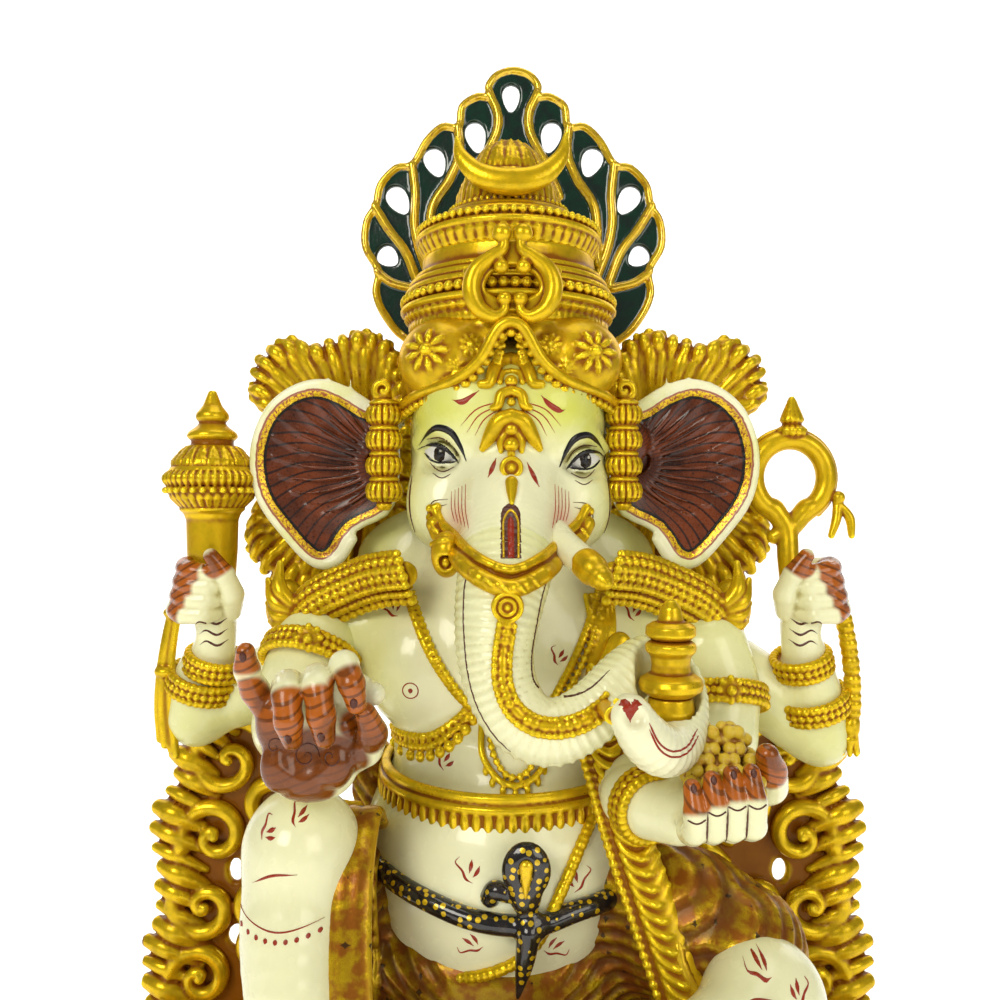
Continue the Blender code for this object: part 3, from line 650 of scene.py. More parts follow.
def make_ivory():
    """Lacquered ivory skin: yellow-green spray that is partly painted shade, olive painted shade in the
    hollows, and blush and henna where their zones say.
    """
    paint = colours()
    look = Look("ivory_skin", roughness=0.24, coat_weight=0.40, coat_roughness=0.06,
                subsurface_weight=0.06)
    look.shader.inputs["Subsurface Radius"].default_value = (0.004, 0.003, 0.0015)
    look.shader.inputs["Subsurface Scale"].default_value = 0.5
    cloud = look.noise(26, 4).ramp(0.35, 0.7)
    speck = look.noise(1.6, 5).ramp(0.6, 0.8)
    hollow = look.zone("wash_and_shading").ramp(0.05, -0.75)
    base = look.mix(paint.ivory, shade(paint.ivory, 0.93), cloud)
    base = look.mix(base, (0.80, 0.72, 0.42), speck * 0.10)
    # yellow-green spray; where the tint zones grow on the sides and backs it is painted shade
    base = look.mix(base, paint.airbrush_and_shade, look.zone("tint") * (0.75 + cloud * 0.25))
    # painted shade: an olive tone sunk into the hollows
    base = look.mix(base, (0.42, 0.34, 0.07), hollow * 0.7)
    base = look.mix(base, paint.blush, look.zone("blush") * 0.42)
    henna = look.zone("henna").ramp(0.35, 0.6)
    curls = look.add("ShaderNodeTexWave", {"wave_type": "RINGS", "rings_direction": "SPHERICAL"},
                     {"Vector": look.place(), "Scale": 0.11 / MM, "Distortion": 9.0, "Detail": 1.0,
                      "Detail Scale": 0.35}, output=1)
    stain = look.mix(paint.henna, shade(paint.henna, 0.30), curls.ramp(0.72, 0.90) * 0.8)
    stain = look.mix(stain, shade(paint.henna, 0.45), look.noise(9, 2).ramp(0.45, 0.7))
    stain = look.mix(stain, shade(paint.henna, 0.32), look.zone("palm") * 0.8)
    base = look.mix(base, stain, henna)
    look.colour(base)
    look.roughness(look.noise(8, 3).ramp(0.3, 0.8, 0.20, 0.34))
    look.bump(look.noise(9, 2) * 0.7 + look.noise(1.2, 4) * 0.3, 0.05)


def make_gold():
    """Gold paint with a red-brown antiquing wash and painted shade in the hollows, painted highlight on the
    ridges, and a few worn ridges.
    """
    paint = colours()
    look = Look("cast_gold", coat_weight=0.14, coat_roughness=0.06,
                specular_tint=(1.0, 0.72, 0.10, 1.0))
    high = look.zone("wash_and_shading")
    patch = look.noise(6, 4)
    # low: the red-brown wash with painted shade, in the hollows and on the deep back plates
    low = (high - look.zone("deep") * 0.5 + (patch - 0.5) * 0.5).ramp(0.16, -0.26)
    worn = look.noise(1.3, 5).ramp(0.66, 0.8) * high.ramp(0.25, 0.7)
    base = look.mix(paint.gold, shade(paint.gold, 0.62), patch.ramp(0.35, 0.75))
    # painted highlight: brighter gold on the ridges
    base = look.mix(base, (1.0, 0.80, 0.03), high.ramp(0.2, 0.8) * 0.7)
    base = look.mix(base, paint.wash_and_shading, low * 0.92)
    base = look.mix(base, (0.30, 0.10, 0.03), worn * 0.5)
    look.colour(base)
    look.metallic((1 - low) * 0.62)
    look.roughness(low * 0.15 + patch.ramp(0.3, 0.8, 0.26, 0.40))
    look.bump(look.noise(1.1, 4) * 0.6 + look.noise(4.5, 3) * 0.4, 0.10)


def make_gold_line():
    """Plain gold paint for drawn lines and small marks."""
    paint = colours()
    look = Look("gold_line", coat_weight=0.3, coat_roughness=0.12)
    patch = look.noise(2.2, 4)
    look.colour(look.mix(paint.gold, (0.42, 0.17, 0.03), patch.ramp(0.55, 0.75) * 0.7))
    look.metallic(patch.ramp(0.7, 0.5) * 0.6)
    look.roughness(patch.ramp(0.3, 0.8, 0.24, 0.4))
    look.bump(patch, 0.08)


def make_fan():
    """Green enamel with gold on the ribs and rims, over cast feather grooves; lighter green on the raised
    parts as painted highlight.
    """
    paint = colours()
    look = Look("feather_enamel", coat_weight=0.9, coat_roughness=0.05)
    gilt = look.zone("gilt")
    streak = look.noise(5, 4)
    green = look.mix(paint.green, (0.001, 0.010, 0.006), streak.ramp(0.4, 0.7))
    # painted highlight: lighter green on the raised parts
    green = look.mix(green, (0.006, 0.075, 0.03), look.zone("wash_and_shading").ramp(0.25, 0.9) * 0.55)
    metal = (gilt + (streak - 0.5) * 0.35).ramp(0.42, 0.60)
    gold = look.mix(paint.gold, (0.40, 0.13, 0.03), look.noise(2.0, 4).ramp(0.5, 0.8))
    look.colour(look.mix(green, gold, metal))
    look.metallic(metal * 0.6)
    look.roughness(streak.ramp(0.3, 0.8, 0.12, 0.26))
    look.bump(look.noise(1.4, 4), 0.09)


def make_ear():
    """Inside of the ears: ivory rim, textured gold border and red-brown veins, with painted shade in the
    deepest hollows.
    """
    paint = colours()
    look = Look("ear_paint", coat_weight=0.25, coat_roughness=0.12)
    edge = look.zone("edge") + (look.noise(3, 3) - 0.5) * 0.7
    line = abs(look.zone("vein").math("FRACT") - 0.5)
    thin = (line + (look.noise(2.2, 3) - 0.5) * 0.10).ramp(0.13, 0.06)
    dots = look.add("ShaderNodeTexVoronoi", {}, {"Vector": look.place(), "Scale": 1 / (2.4 * MM)})
    dark = look.mix(paint.ear_red, shade(paint.ear_red, 0.40), look.noise(12, 4).ramp(0.35, 0.7))
    dark = look.mix(dark, (0.018, 0.007, 0.006), thin * 0.92)
    dark = look.mix(dark, (0.02, 0.008, 0.006), dots.ramp(0.24, 0.14) * line.ramp(0.2, 0.4) * 0.8)
    grain = look.noise(1.0, 4)
    gilt = look.mix(paint.gold, (0.33, 0.09, 0.025), grain.ramp(0.45, 0.62))
    ivory = look.mix(paint.ivory, paint.airbrush_and_shade, look.noise(14, 3).ramp(0.4, 0.7) * 0.5)
    red = abs(edge - 2.4).ramp(0.5, 0.2)
    inner = edge.ramp(5.3, 5.6)
    border = edge.ramp(2.6, 2.9) * (1 - inner)
    black = abs(edge - 5.5).ramp(0.7, 0.4)
    base = look.mix(ivory, gilt, border)
    base = look.mix(base, dark, inner)
    base = look.mix(base, (0.01, 0.007, 0.006), black)
    base = look.mix(base, paint.red, red * 0.9)
    # painted shade: near black in the deepest hollows
    base = look.mix(base, (0.05, 0.015, 0.01), look.zone("wash_and_shading").ramp(-0.35, -1.0) * 0.8)
    look.colour(base)
    look.metallic(border * 0.55)
    look.roughness(grain.ramp(0.3, 0.8, 0.24, 0.42))
    look.bump(grain * (0.15 + border * 0.85), 0.16)


def make_serpent():
    """Black enamel sprinkled with gold scales."""
    paint = colours()
    look = Look("serpent_enamel", coat_weight=0.8, coat_roughness=0.06)
    spot = look.add("ShaderNodeTexVoronoi", {"feature": "F1"}, {
        "Vector": look.place(), "Scale": 1 / (2.9 * MM), "Randomness": 0.45})
    mark = (spot + (look.noise(1.0, 3) - 0.5) * 0.12).ramp(0.36, 0.30)
    base = look.mix(paint.black, (0.03, 0.022, 0.02), look.noise(4, 3).ramp(0.4, 0.7))
    look.colour(look.mix(base, shade(paint.gold, 0.9), mark))
    look.metallic(mark * 0.5)
    look.roughness(mark * 0.12 + 0.16)
    look.bump(mark * 0.6 + look.noise(1.6, 3) * 0.4, 0.12)


def make_cloth():
    """Painted cloth of the dhoti: gold-brown folds with small dark stars and gold threads; the ridges
    lighter as painted highlight and the folds darker as painted shade.
    """
    paint = colours()
    look = Look("painted_cloth", coat_weight=0.12, coat_roughness=0.1,
                specular_tint=(1.0, 0.72, 0.2, 1.0))
    high = look.zone("wash_and_shading")
    patch = look.noise(5, 4)
    low = (high + (patch - 0.5) * 0.4).ramp(0.22, -0.3)
    star = look.add("ShaderNodeTexVoronoi", {"feature": "F1", "distance": "MINKOWSKI"}, {
        "Vector": look.place(), "Scale": 1 / (6.5 * MM), "Exponent": 0.6, "Randomness": 0.35})
    mark = star.ramp(0.42, 0.34)
    base = look.mix(shade(paint.gold, 0.62), (0.24, 0.075, 0.008), patch.ramp(0.3, 0.6))
    # painted highlight: lighter gold on the ridges and raised threads
    base = look.mix(base, (0.90, 0.62, 0.03), high.ramp(0.2, 0.8) * 0.6)
    # painted shade: dark brown in the folds
    base = look.mix(base, (0.09, 0.022, 0.008), low * 0.85)
    base = look.mix(base, (0.018, 0.009, 0.006), mark * 0.92)
    look.colour(base)
    look.metallic((1 - low) * 0.5 * (1 - mark))
    look.roughness(patch.ramp(0.3, 0.8, 0.26, 0.42))
    look.bump(look.noise(1.1, 4), 0.10)


def make_line(name, colour, gloss=0.22, thin=0.25):
    """A line paint that runs thin in places, so it is never one flat colour."""
    look = Look(name, coat_weight=0.12, coat_roughness=0.06)
    patch = look.noise(1.8, 4)
    light = tuple(part + (0.5 - part) * thin for part in colour)
    look.colour(look.mix(colour, light, patch.ramp(0.55, 0.8)))
    look.roughness(patch.ramp(0.3, 0.8, gloss, gloss + 0.16))
    look.bump(patch, 0.05)


def make_sweets():
    """Milk sweets: cream with toasted patches here and there, and painted shade in the gaps between them.
    """
    paint = colours()
    look = Look("milk_sweet", coat_weight=0.35, coat_roughness=0.08)
    patch = look.noise(3, 5)
    base = look.mix(paint.sweet, (0.60, 0.33, 0.02), patch.ramp(0.5, 0.75))
    # painted shade: dark brown in the gaps between the sweets
    base = look.mix(base, (0.24, 0.08, 0.008), look.zone("wash_and_shading").ramp(0.1, -0.35) * 0.9)
    look.colour(base)
    look.roughness(patch.ramp(0.3, 0.8, 0.35, 0.6))
    look.bump(look.noise(0.8, 4), 0.15)


def make_steel():
    """Steel rod with fine drawn lines along it."""
    look = Look("drawn_steel", metallic=1.0)
    grain = look.noise(0.9, 5)
    look.colour(look.mix((0.42, 0.43, 0.45), (0.60, 0.60, 0.61), grain))
    look.roughness(grain.ramp(0.3, 0.8, 0.25, 0.45))
    look.bump(grain, 0.03)


def make_felt():
    """Matted dark green felt."""
    look = Look("green_felt", roughness=0.95, sheen_weight=0.4)
    fibre = look.noise(0.7, 6, 0.7)
    look.colour(look.mix((0.012, 0.045, 0.025), (0.03, 0.09, 0.05), fibre))
    look.bump(fibre, 0.4)


def make_floor():
    """Plain pale studio paper."""
    look = Look("studio_paper", roughness=0.9, emission_strength=0.62)
    look.feed(look.shader.inputs["Emission Color"], (1.0, 1.0, 1.0))
    grain = look.noise(60, 3)
    look.colour(look.mix((0.90, 0.90, 0.90), (0.93, 0.93, 0.93), grain))
    look.bump(look.noise(1.5, 3), 0.05)


class IDOL_OT_finishes(bpy.types.Operator):
    """Mix the paints and lacquers"""
    bl_idname = "idol.finishes"
    bl_label = "Finishes"

    def execute(self, context):
        for make in (make_ivory, make_gold, make_gold_line, make_fan, make_ear, make_serpent,
                     make_cloth, make_sweets, make_steel, make_felt, make_floor):
            make()
        paint = colours()
        make_line("black_line", paint.black, 0.14, 0.03)
        make_line("brown_line", paint.brown)
        make_line("red_line", paint.red)
        make_line("fine_red_line", shade(paint.red, 1.25), 0.3, 0.5)
        make_line("eye_white", (0.70, 0.69, 0.63), 0.12, 0.1)
        make_line("iris_brown", (0.016, 0.007, 0.004), 0.2, 0.02)
        return {"FINISHED"}


# --------------------------------------------------------------- head, trunk
# Stations (x, y, z, radius) of the trunk, from the brow to its curled tip
TRUNK = [
    (0, -6, 292, 12.5), (0, -14, 280, 16.5), (0, -24, 267, 18.0), (-1, -36, 254, 17.0),
    (-2, -46, 245, 15.5), (-4, -53, 234, 14.0), (-5, -56, 222, 12.5), (-3, -59, 211, 11.5),
    (2, -61, 202, 11.0), (11, -62, 197, 10.5), (21, -62, 200, 10.0), (29, -60, 206, 9.6),
    (37, -55, 213, 9.2), (46, -49, 217, 8.8), (53.5, -51, 212, 8.4), (54.5, -59, 204, 8.2),
    (51, -68, 196, 8.0), (45, -76, 195.5, 7.8), (39, -80.5, 200.5, 7.4), (34.5, -82, 207.5, 6.2)]


def trunk_ribs(distance):
    """Fine rings around the trunk, deeper past the brow."""
    deep = np.clip((distance - 34) / 26, 0, 1)
    return (0.34 * np.sin(distance * TAU / 2.5) * deep).astype(np.float32)


# The head and the trunk are one form; a sloping plane under the nose band parts them.
BAND_SLOPE = 0.9
BAND_HEIGHT = 214.5


class IDOL_OT_head(bpy.types.Operator):
    """Shape the elephant head and its curled trunk"""
    bl_idname = "idol.head"
    bl_label = "Head and Trunk"

    def execute(self, context):
        clay = Clay((-47, -96, 184), (80, 60, 338), 0.8)
        clay.ball((0, 14, 288), (38.5, 41, 45))
        clay.ball((0, 10, 302), (35.5, 41, 28), blend=8)
        for side in (-1, 1):
            clay.ball((side * 15, -8, 304), (17, 21, 19), blend=9)
            clay.ball((side * 25, -4, 268), (13.5, 19, 17), blend=9)
            clay.ball((side * 17, -17, 260), (9.5, 16, 11), turn=(25, 0, 0), blend=7)
        clay.ball((0, -6, 250), (19, 20, 13), blend=6)
        clay.tube(TRUNK, blend=7, ripple=trunk_ribs, spacing=2.5)
        for side, x, z in ((-1, -25.3, 286.6), (1, 27.6, 284.4)):
            clay.ball((x * 1.03, -17.5, z), (9.5, 6.5, 6.0), turn=(0, 0, side * 34), blend=4, cut=True)
            clay.ball((x, -11.2, z + 0.2), (6.8, 4.4, 4.2), turn=(0, 0, side * 34), blend=1.2)
            eye = lambda points: [(x + side * dx, y, z + dz, r) for dx, y, dz, r in points]
            clay.tube(eye([(-10, -25, 2, 1.6), (-5, -21.5, 7.2, 2.0), (2, -15.5, 9, 2.0), (9, -5, 5, 1.4)]),
                      blend=4)
            clay.tube(eye([(-6.8, -17.8, -2.6, 0.8), (-3.2, -17.0, 2.2, 1.0), (2, -14.2, 3.6, 1.0),
                           (6.6, -7.6, 1.0, 0.8)]), blend=0.8)
            clay.tube(eye([(-6.8, -17.6, -2.8, 0.6), (-2.6, -16.4, -3.6, 0.7), (2.2, -13.2, -3.4, 0.7),
                           (6.4, -7.8, -0.4, 0.6)]), blend=1.0)
        # the lip that closes round the pot, and the nostril in its tip
        clay.turned((50, -63, 0), [(8.2, 195.4), (8.2, 205), (9.5, 208), (11, 212), (11, 240)], blend=1.2,
                    cut=True)
        clay.ball((35.0, -87.5, 208.0), (3.0, 2.0, 3.0), blend=1.5, cut=True)
        forms["head"] = clay
        carve(clay, "head_cast", 2.4, "head", part=self.above_band, tint=self.mist_and_shade, blush=self.flush)
        carve(clay, "trunk_cast", 1.2, "trunk", part=self.below_band, tint=self.trunk_mist_and_shade)
        return {"FINISHED"}

    @staticmethod
    def above_band(x, y, z):
        """The part of the casting behind and above the nose band."""
        return z + y * BAND_SLOPE > BAND_HEIGHT

    @staticmethod
    def below_band(x, y, z):
        """The part of the casting in front of and below the nose band."""
        return z + y * BAND_SLOPE <= BAND_HEIGHT

    @staticmethod
    def mist_and_shade(x, y, z):
        """Yellow-green spray on the forehead and the root of the trunk, and painted shade on the temples
        and the sides of the jaw.
        """
        brow = np.clip((z - 284) / 16, 0, 1)
        side = np.clip((np.abs(x) - 24) / 14, 0, 1)
        nose = np.clip(1 - np.abs(x) / 14, 0, 1) * np.clip((270 - z) / 16, 0, 1)
        return np.clip(brow * 1.1 + side * 0.7 + nose * 0.3 + 0.06, 0, 1)

    @staticmethod
    def trunk_mist_and_shade(x, y, z):
        """Yellow-green spray on the trunk, growing towards its back as painted shade on the underside and
        flanks.
        """
        return np.clip(0.28 + (y + 60) / 60, 0, 0.6)

    @staticmethod
    def flush(x, y, z):
        """Pink spray on the inner cheeks."""
        spot = ((np.abs(x) - 18.0) / 4.0) ** 2 + ((z - 263.5) / 5.0) ** 2
        return np.exp(-spot) * (y < 0)


# ---------------------------------------------------------------------- ears
# The outline (x, z) of the right ear
EAR = [(-44, 300), (-56, 307), (-66, 313), (-76, 315.5), (-87, 312), (-96, 303), (-100.5, 288),
       (-98, 271), (-88, 256.5), (-77, 245.5), (-68, 246.5), (-60, 257.5), (-45, 268)]


class IDOL_OT_ears(bpy.types.Operator):
    """Cast the fanned ears, dished inside and painted in red-brown veins"""
    bl_idname = "idol.ears"
    bl_label = "Ears"

    def execute(self, context):
        self.ear(rounded(EAR, 4), -1, "right")
        self.ear(rounded(flipped(EAR, -1.5), 4), 1, "left")
        return {"FINISHED"}

    def ear(self, outline, side, label):
        low = (outline[:, 0].min() - 6, -3, 236)
        high = (outline[:, 0].max() + 6, 24, 324)
        clay = Clay(low, high, 0.8)
        clay.plate(outline, 7.5, 14.5, round_off=1.6)
        ring = smooth_route([(p[0], 8.0, p[1], 1.8) for p in outline[:-8]], 2.0)
        ring[:, 0] += side * -1.6
        clay.tube([tuple(p) for p in ring], blend=3, smooth=False)
        centre = (side * 66 - 1.0 * (side > 0), 1.5, 283)
        clay.ball(centre, (31, 9.2, 30), blend=3, cut=True)
        root = (side * 44.0, 285.0)
        for k in range(11):
            angle = math.radians(-52 + 10.5 * k)
            reach = 20 + 17 * math.cos(angle - 0.25)
            points = []
            for t in (0.25, 0.5, 0.75, 1.0):
                bend = 0.22 * t * t
                points.append((root[0] + side * reach * 1.35 * t * math.cos(angle + bend), 9.4 - 1.6 * t,
                               root[1] + reach * 1.2 * t * math.sin(angle + bend), 1.1 * (1.25 - t)))
            clay.tube(points, blend=1.4)
        clay.ball((side * 49, 6, 292), (5.5, 4.5, 8), blend=3)

        def edge(px, py, pz):
            return np.where(py > 13.8, 0.0, -outline_distance(outline, px, pz))

        def vein(px, py, pz):
            angle = np.arctan2(pz - root[1], side * (px - root[0]))
            away = np.hypot(pz - root[1], px - root[0])
            return angle * 9.5 + 0.5 * np.sin(away / 7.0) + 20

        piece = clay.skin("ear_cast_" + label, "ear_paint", wash_and_shading=2.0, edge=edge, vein=vein)
        settle(piece, "ivory_marble", "ear_" + label)


class IDOL_OT_tusks(bpy.types.Operator):
    """Carve the whole tusk with its gold tip, and cap the broken one"""
    bl_idname = "idol.tusks"
    bl_label = "Tusks"

    def execute(self, context):
        clay = Clay((10, -64, 238), (36, -26, 264), 0.6)
        clay.tube([(15, -32, 258, 6.0), (19, -41, 254, 5.4), (24, -50, 250, 4.8),
                   (26.4, -54.5, 247.6, 4.5)])
        carve(clay, "tusk_cast_left", 1.2, "tusk_left")
        clay = Clay((20, -74, 234), (42, -48, 256), 0.45)
        clay.tube([(25.0, -52, 249.0, 5.0), (26.4, -54.5, 247.6, 4.9)], smooth=False)
        clay.tube([(26.6, -55, 247.3, 4.6), (28.8, -58.5, 245.2, 3.9), (30.4, -61.5, 243.6, 1.8)])
        for k in (0, 1):
            ring = [(24.9 + 1.2 * k, -51.8 - 2.1 * k, 249.1 - 1.2 * k, 5.3),
                    (25.1 + 1.2 * k, -52.2 - 2.1 * k, 248.9 - 1.2 * k, 5.3)]
            clay.tube(ring, blend=0.4, smooth=False)
        gild(clay, "tusk_tip", 1.0, "tusk_ferrule")
        clay = Clay((-32, -50, 240), (-11, -26, 264), 0.45)
        clay.ball((-21.5, -38, 251.5), (5.3, 6.6, 8.2), turn=(20, 0, 0))
        clay.tube([(-26.4, -39, 255, 1.0), (-22, -43.6, 256.6, 1.0), (-16.8, -40, 255.4, 1.0)], blend=0.5)
        clay.ball((-21.5, -43.0, 249.2), (2.3, 2.0, 3.0), blend=0.8, cut=True)
        clay.ball((-21.5, -42.2, 249.2), (1.3, 1.4, 1.8), blend=0.3)
        gild(clay, "broken_tusk_gold", 1.0, "broken_tusk_cap")
        return {"FINISHED"}


# --------------------------------------------------------------------- crown
AXIS_Y = 15.0               # depth of the upright line that the crown is turned about


def fold(angle, count, turn=0.0):
    """Position inside each of `count` equal parts of a turn, from -1 to 1."""
    part = angle * (count / TAU) + turn
    return (part - np.floor(part)) * 2 - 1


def lotus_leaves(angle, z, count, foot, top, height, turn=0.0):
    """A row of pointed leaves with a rim and a midrib, standing from foot to top."""
    u = np.abs(fold(angle, count, turn))
    v = np.clip((z - foot) / (top - foot), 0, 1.2)
    half = 0.92 * np.sqrt(np.clip(1 - v * v, 0, 1))
    inside = np.clip((half - u) / 0.16, 0, 1) * (v > 0) * (v < 1)
    rim = np.exp(-((half - u - 0.14) / 0.10) ** 2)
    rib = np.exp(-(u / 0.10) ** 2)
    return height * inside * (0.45 + 0.55 * np.maximum(rim, rib))


def flutes(angle, count, height, turn=0.0):
    """Rounded ribs side by side round a turned form."""
    u = fold(angle, count, turn)
    return height * (np.sqrt(np.clip(1 - u * u, 0, 1)) - 0.6)


class IDOL_OT_crown(bpy.types.Operator):
    """Cast the tall tiered crown, its crescent and its scrolled medallion"""
    bl_idname = "idol.crown"
    bl_label = "Crown"

    def execute(self, context):
        self.cap()
        self.lower_tier()
        self.upper_tier()
        self.crescent()
        self.medallion()
        return {"FINISHED"}

    def block(self, low, high):
        return Clay((-48, AXIS_Y - 48, low), (48, AXIS_Y + 48, high), 0.72)

    def cap(self):
        clay = self.block(302, 340)
        clay.turned((0, AXIS_Y, 0), [(41.5, 306), (42.3, 312), (42.2, 322), (40.5, 331), (39.5, 334.5)],
                    blend=0.5, relief=lambda a, z, r: 0.16 * np.sin(a * 30) * np.sin(z * 1.0))
        for side in (-1, 1):
            clay.ball((0.5 + side * 23, -13, 321), (18, 15, 16), blend=3)
        head = forms["head"]
        slices, x, y, z = clay.window(clay.low, (999, 999, 999))
        spots = np.stack(np.broadcast_arrays(x, y, z), -1).reshape(-1, 3)
        shell = head.sample(head.field, spots).reshape(clay.field.shape) - 1.4
        clay.field[slices] = np.minimum(clay.field[slices], shell)
        hem = np.interp(np.abs(x - 0.5), (3.7, 10.5, 19, 31.5, 38, 43),
                        (330, 318.4, 312.2, 309, 306.5, 304.5))
        clay.field[slices] = np.maximum(clay.field[slices], np.where(y < 6, hem + 0.6 - z, -9))
        for x, z, size in ((-29.5, 323, 8.4), (30.5, 322.5, 8.4), (-13.5, 325, 4.4), (14.5, 325, 4.4),
                           (-19, 316.5, 3.6), (20, 316.5, 3.6)):
            self.flower(clay, x, z, size)
        for k in range(1, 8):
            angle = math.radians(-90 + 45 * k)
            self.daisy(clay, angle, 323, 8.4 if k % 2 else 5.4)
        for k in range(76):
            angle = TAU * k / 76
            clay.ball((42.2 * math.cos(angle), AXIS_Y + 42.2 * math.sin(angle), 307.5), 1.5, blend=0.3)
        gild(clay, "crown_cap_cast", 1.4, "crown_cap")

    def flower(self, clay, x, z, size):
        """A flower laid on the brow: petals round a button."""
        for k in range(9):
            turn = TAU * k / 9
            petal = [(x + size * t * math.cos(turn), z + size * t * math.sin(turn), size * r)
                     for t, r in ((0.34, 0.11), (0.62, 0.17), (0.88, 0.10))]
            clay.tube(clay.laid(petal, 0.2), blend=0.3, smooth=False)
        clay.ball(clay.laid([(x, z, 1)], 0.4)[0][:3], size * 0.27, blend=0.3)

    def daisy(self, clay, angle, z, size):
        """A flower on the side of the cap: petals round a button."""
        out = np.array((math.cos(angle), math.sin(angle), 0.0))
        across = np.array((-math.sin(angle), math.cos(angle), 0.0))
        centre = np.array((0, AXIS_Y, z)) + out * 41.6
        for k in range(9):
            turn = TAU * k / 9
            way = across * math.cos(turn) + np.array((0, 0, math.sin(turn)))
            tip = centre + way * size * 0.72 + out * 0.5
            root = centre + way * size * 0.34 + out * 1.0
            clay.tube([(*root, 0.9), (*(root + tip) / 2, 1.5), (*tip, 1.6)], blend=0.3, smooth=False)
        clay.ball(centre + out * 0.8, size * 0.27, blend=0.3)

    def bead_ring(self, clay, radius, z, size, count):
        """A ring of beads round the crown."""
        for k in range(count):
            angle = TAU * k / count
            clay.ball((radius * math.cos(angle), AXIS_Y + radius * math.sin(angle), z), size, blend=0.25)

    def lower_tier(self):
        clay = self.block(330, 368)
        axis = (0, AXIS_Y, 0)
        clay.turned(axis, [(38.6, 334.5), (39.4, 336), (39.4, 338.4), (36, 340), (33, 364.5)], blend=0.4,
                    relief=lambda a, z, r: flutes(a, 90, 0.45) * (z < 338.6))
        clay.turned(axis, [(39.2, 338.6), (41.2, 340.6), (40.4, 342.4)], blend=0.4,
                    relief=lambda a, z, r: flutes(a, 64, 0.7))
        for radius, z, size in ((41.6, 343.6, 1.5), (39.6, 350.6, 1.5), (38.2, 353.6, 1.5),
                                (36.2, 356.4, 1.3)):
            clay.turned(axis, [(radius, z - size), (radius + size * 0.8, z - size * 0.4),
                               (radius + size * 0.8, z + size * 0.4), (radius, z + size)], blend=0.7)
        self.bead_ring(clay, 41.0, 347.2, 2.0, 62)
        clay.turned(axis, [(39.2, 344.5), (39.6, 348), (38.6, 351)], blend=0.6)
        clay.turned(axis, [(36, 355), (34.2, 359), (34.0, 364.5)], blend=1.0)
        gild(clay, "crown_lower_cast", 1.3, "crown_lower_tier")

    def upper_tier(self):
        clay = self.block(362, 416)
        axis = (0, AXIS_Y, 0)
        clay.turned(axis, [(33.4, 364.5), (34.0, 366), (35.8, 369), (35.2, 371)], blend=0.4,
                    relief=lambda a, z, r: flutes(a, 52, 1.0) * (z < 370.4))
        clay.turned(axis, [(35.4, 369.8), (36.9, 371), (36.9, 372.2), (35.4, 373.4)], blend=0.5)
        self.bead_ring(clay, 35.4, 375.0, 1.55, 66)
        clay.turned(axis, [(34.4, 373), (33.6, 376.4), (29, 378.2)], blend=0.4)
        clay.turned(axis, [(31, 377.0), (30.4, 378.6), (26, 380.4)], blend=0.5)
        clay.turned(axis, [(27, 379.6), (26.4, 381.2), (22.4, 383)], blend=0.5)
        self.bead_ring(clay, 23.6, 383.4, 1.0, 56)
        clay.turned(axis, [(22, 382), (21.0, 385), (20.2, 390), (17.8, 396), (17.0, 397)], blend=0.4,
                    relief=lambda a, z, r: lotus_leaves(a, z, 15, 383.5, 397, 0.8))
        clay.turned(axis, [(15.2, 396.5), (14.4, 401), (11.6, 406.5), (7.4, 410.6), (2.0, 413)], blend=0.4,
                    relief=lambda a, z, r: lotus_leaves(a, z, 13, 397, 412, 0.8, 0.5))
        gild(clay, "crown_upper_cast", 1.3, "crown_upper_tier")

    def crescent(self):
        clay = Clay((-26, -18, 376), (30, 8, 412), 0.5)
        clay.tube([(-19.5, -7, 405.5, 0.9), (-17.4, -8.6, 397.5, 2.9), (-10, -10, 390.4, 4.4),
                   (1, -10.6, 387.8, 5.2), (12, -10, 390.4, 4.4), (19.4, -8.6, 398, 2.9),
                   (21.5, -7, 407, 0.9)],
                  flat=(1, 0.7, 1))
        clay.tube([(1, -8, 386, 3.0), (1, -2, 388, 3.0)], smooth=False)
        gild(clay, "crescent_cast", 1.6, "crown_crescent")

    def medallion(self):
        clay = Clay((-24, -42, 326), (26, -20, 370), 0.45)
        back = rounded([(-2, 360), (-9, 354), (-14, 346), (-12, 337), (1, 335.5), (14, 337), (16, 346),
                        (11, 354), (4, 360)], 4)
        hole = rounded([(1, 352), (-6.5, 349), (-8, 343), (1, 339), (10, 343), (8.5, 349)], 4)
        clay.plate(back, -31, -26.6, round_off=1.2, holes=[hole])
        for side in (-1, 1):
            at = lambda x, z, r, y=-33.0: (1 + side * x * 0.87, y, z, r * 0.9)
            clay.ball(at(4.2, 362.2, 0)[:3], (3.4, 2.8, 3.4), blend=0.6)
            clay.tube([at(3.6, 361, 2.0), at(3.8, 357, 2.2), at(8.6, 354, 2.7), at(14.4, 349.4, 3.3),
                       at(16.4, 342.8, 3.6), at(13.6, 336.4, 3.3), at(7.4, 333.4, 2.6), at(3.4, 335.4, 1.9),
                       at(3.0, 338.6, 1.5)], blend=0.5)
            clay.ball(at(3.2, 339.6, 0)[:3], (2.6, 2.4, 2.4), blend=0.4)
            clay.tube([at(13, 349, 1.6), at(10.8, 353.2, 1.9), at(6.6, 354.6, 1.9), at(4.2, 352.2, 1.5)],
                      blend=0.5)
            clay.ball(at(4.4, 350.6, 0)[:3], (2.7, 2.6, 2.6), blend=0.4)
            for k in range(9):
                angle = math.radians(6 - 14 * k)
                spot = at(3 + 15.6 * math.cos(angle), 347.5 + 15.6 * math.sin(angle), 0, -32.0)
                clay.ball(spot[:3], (1.1, 1.6, 1.1), blend=0.3)
        gild(clay, "medallion_cast", 1.1, "crown_medallion")


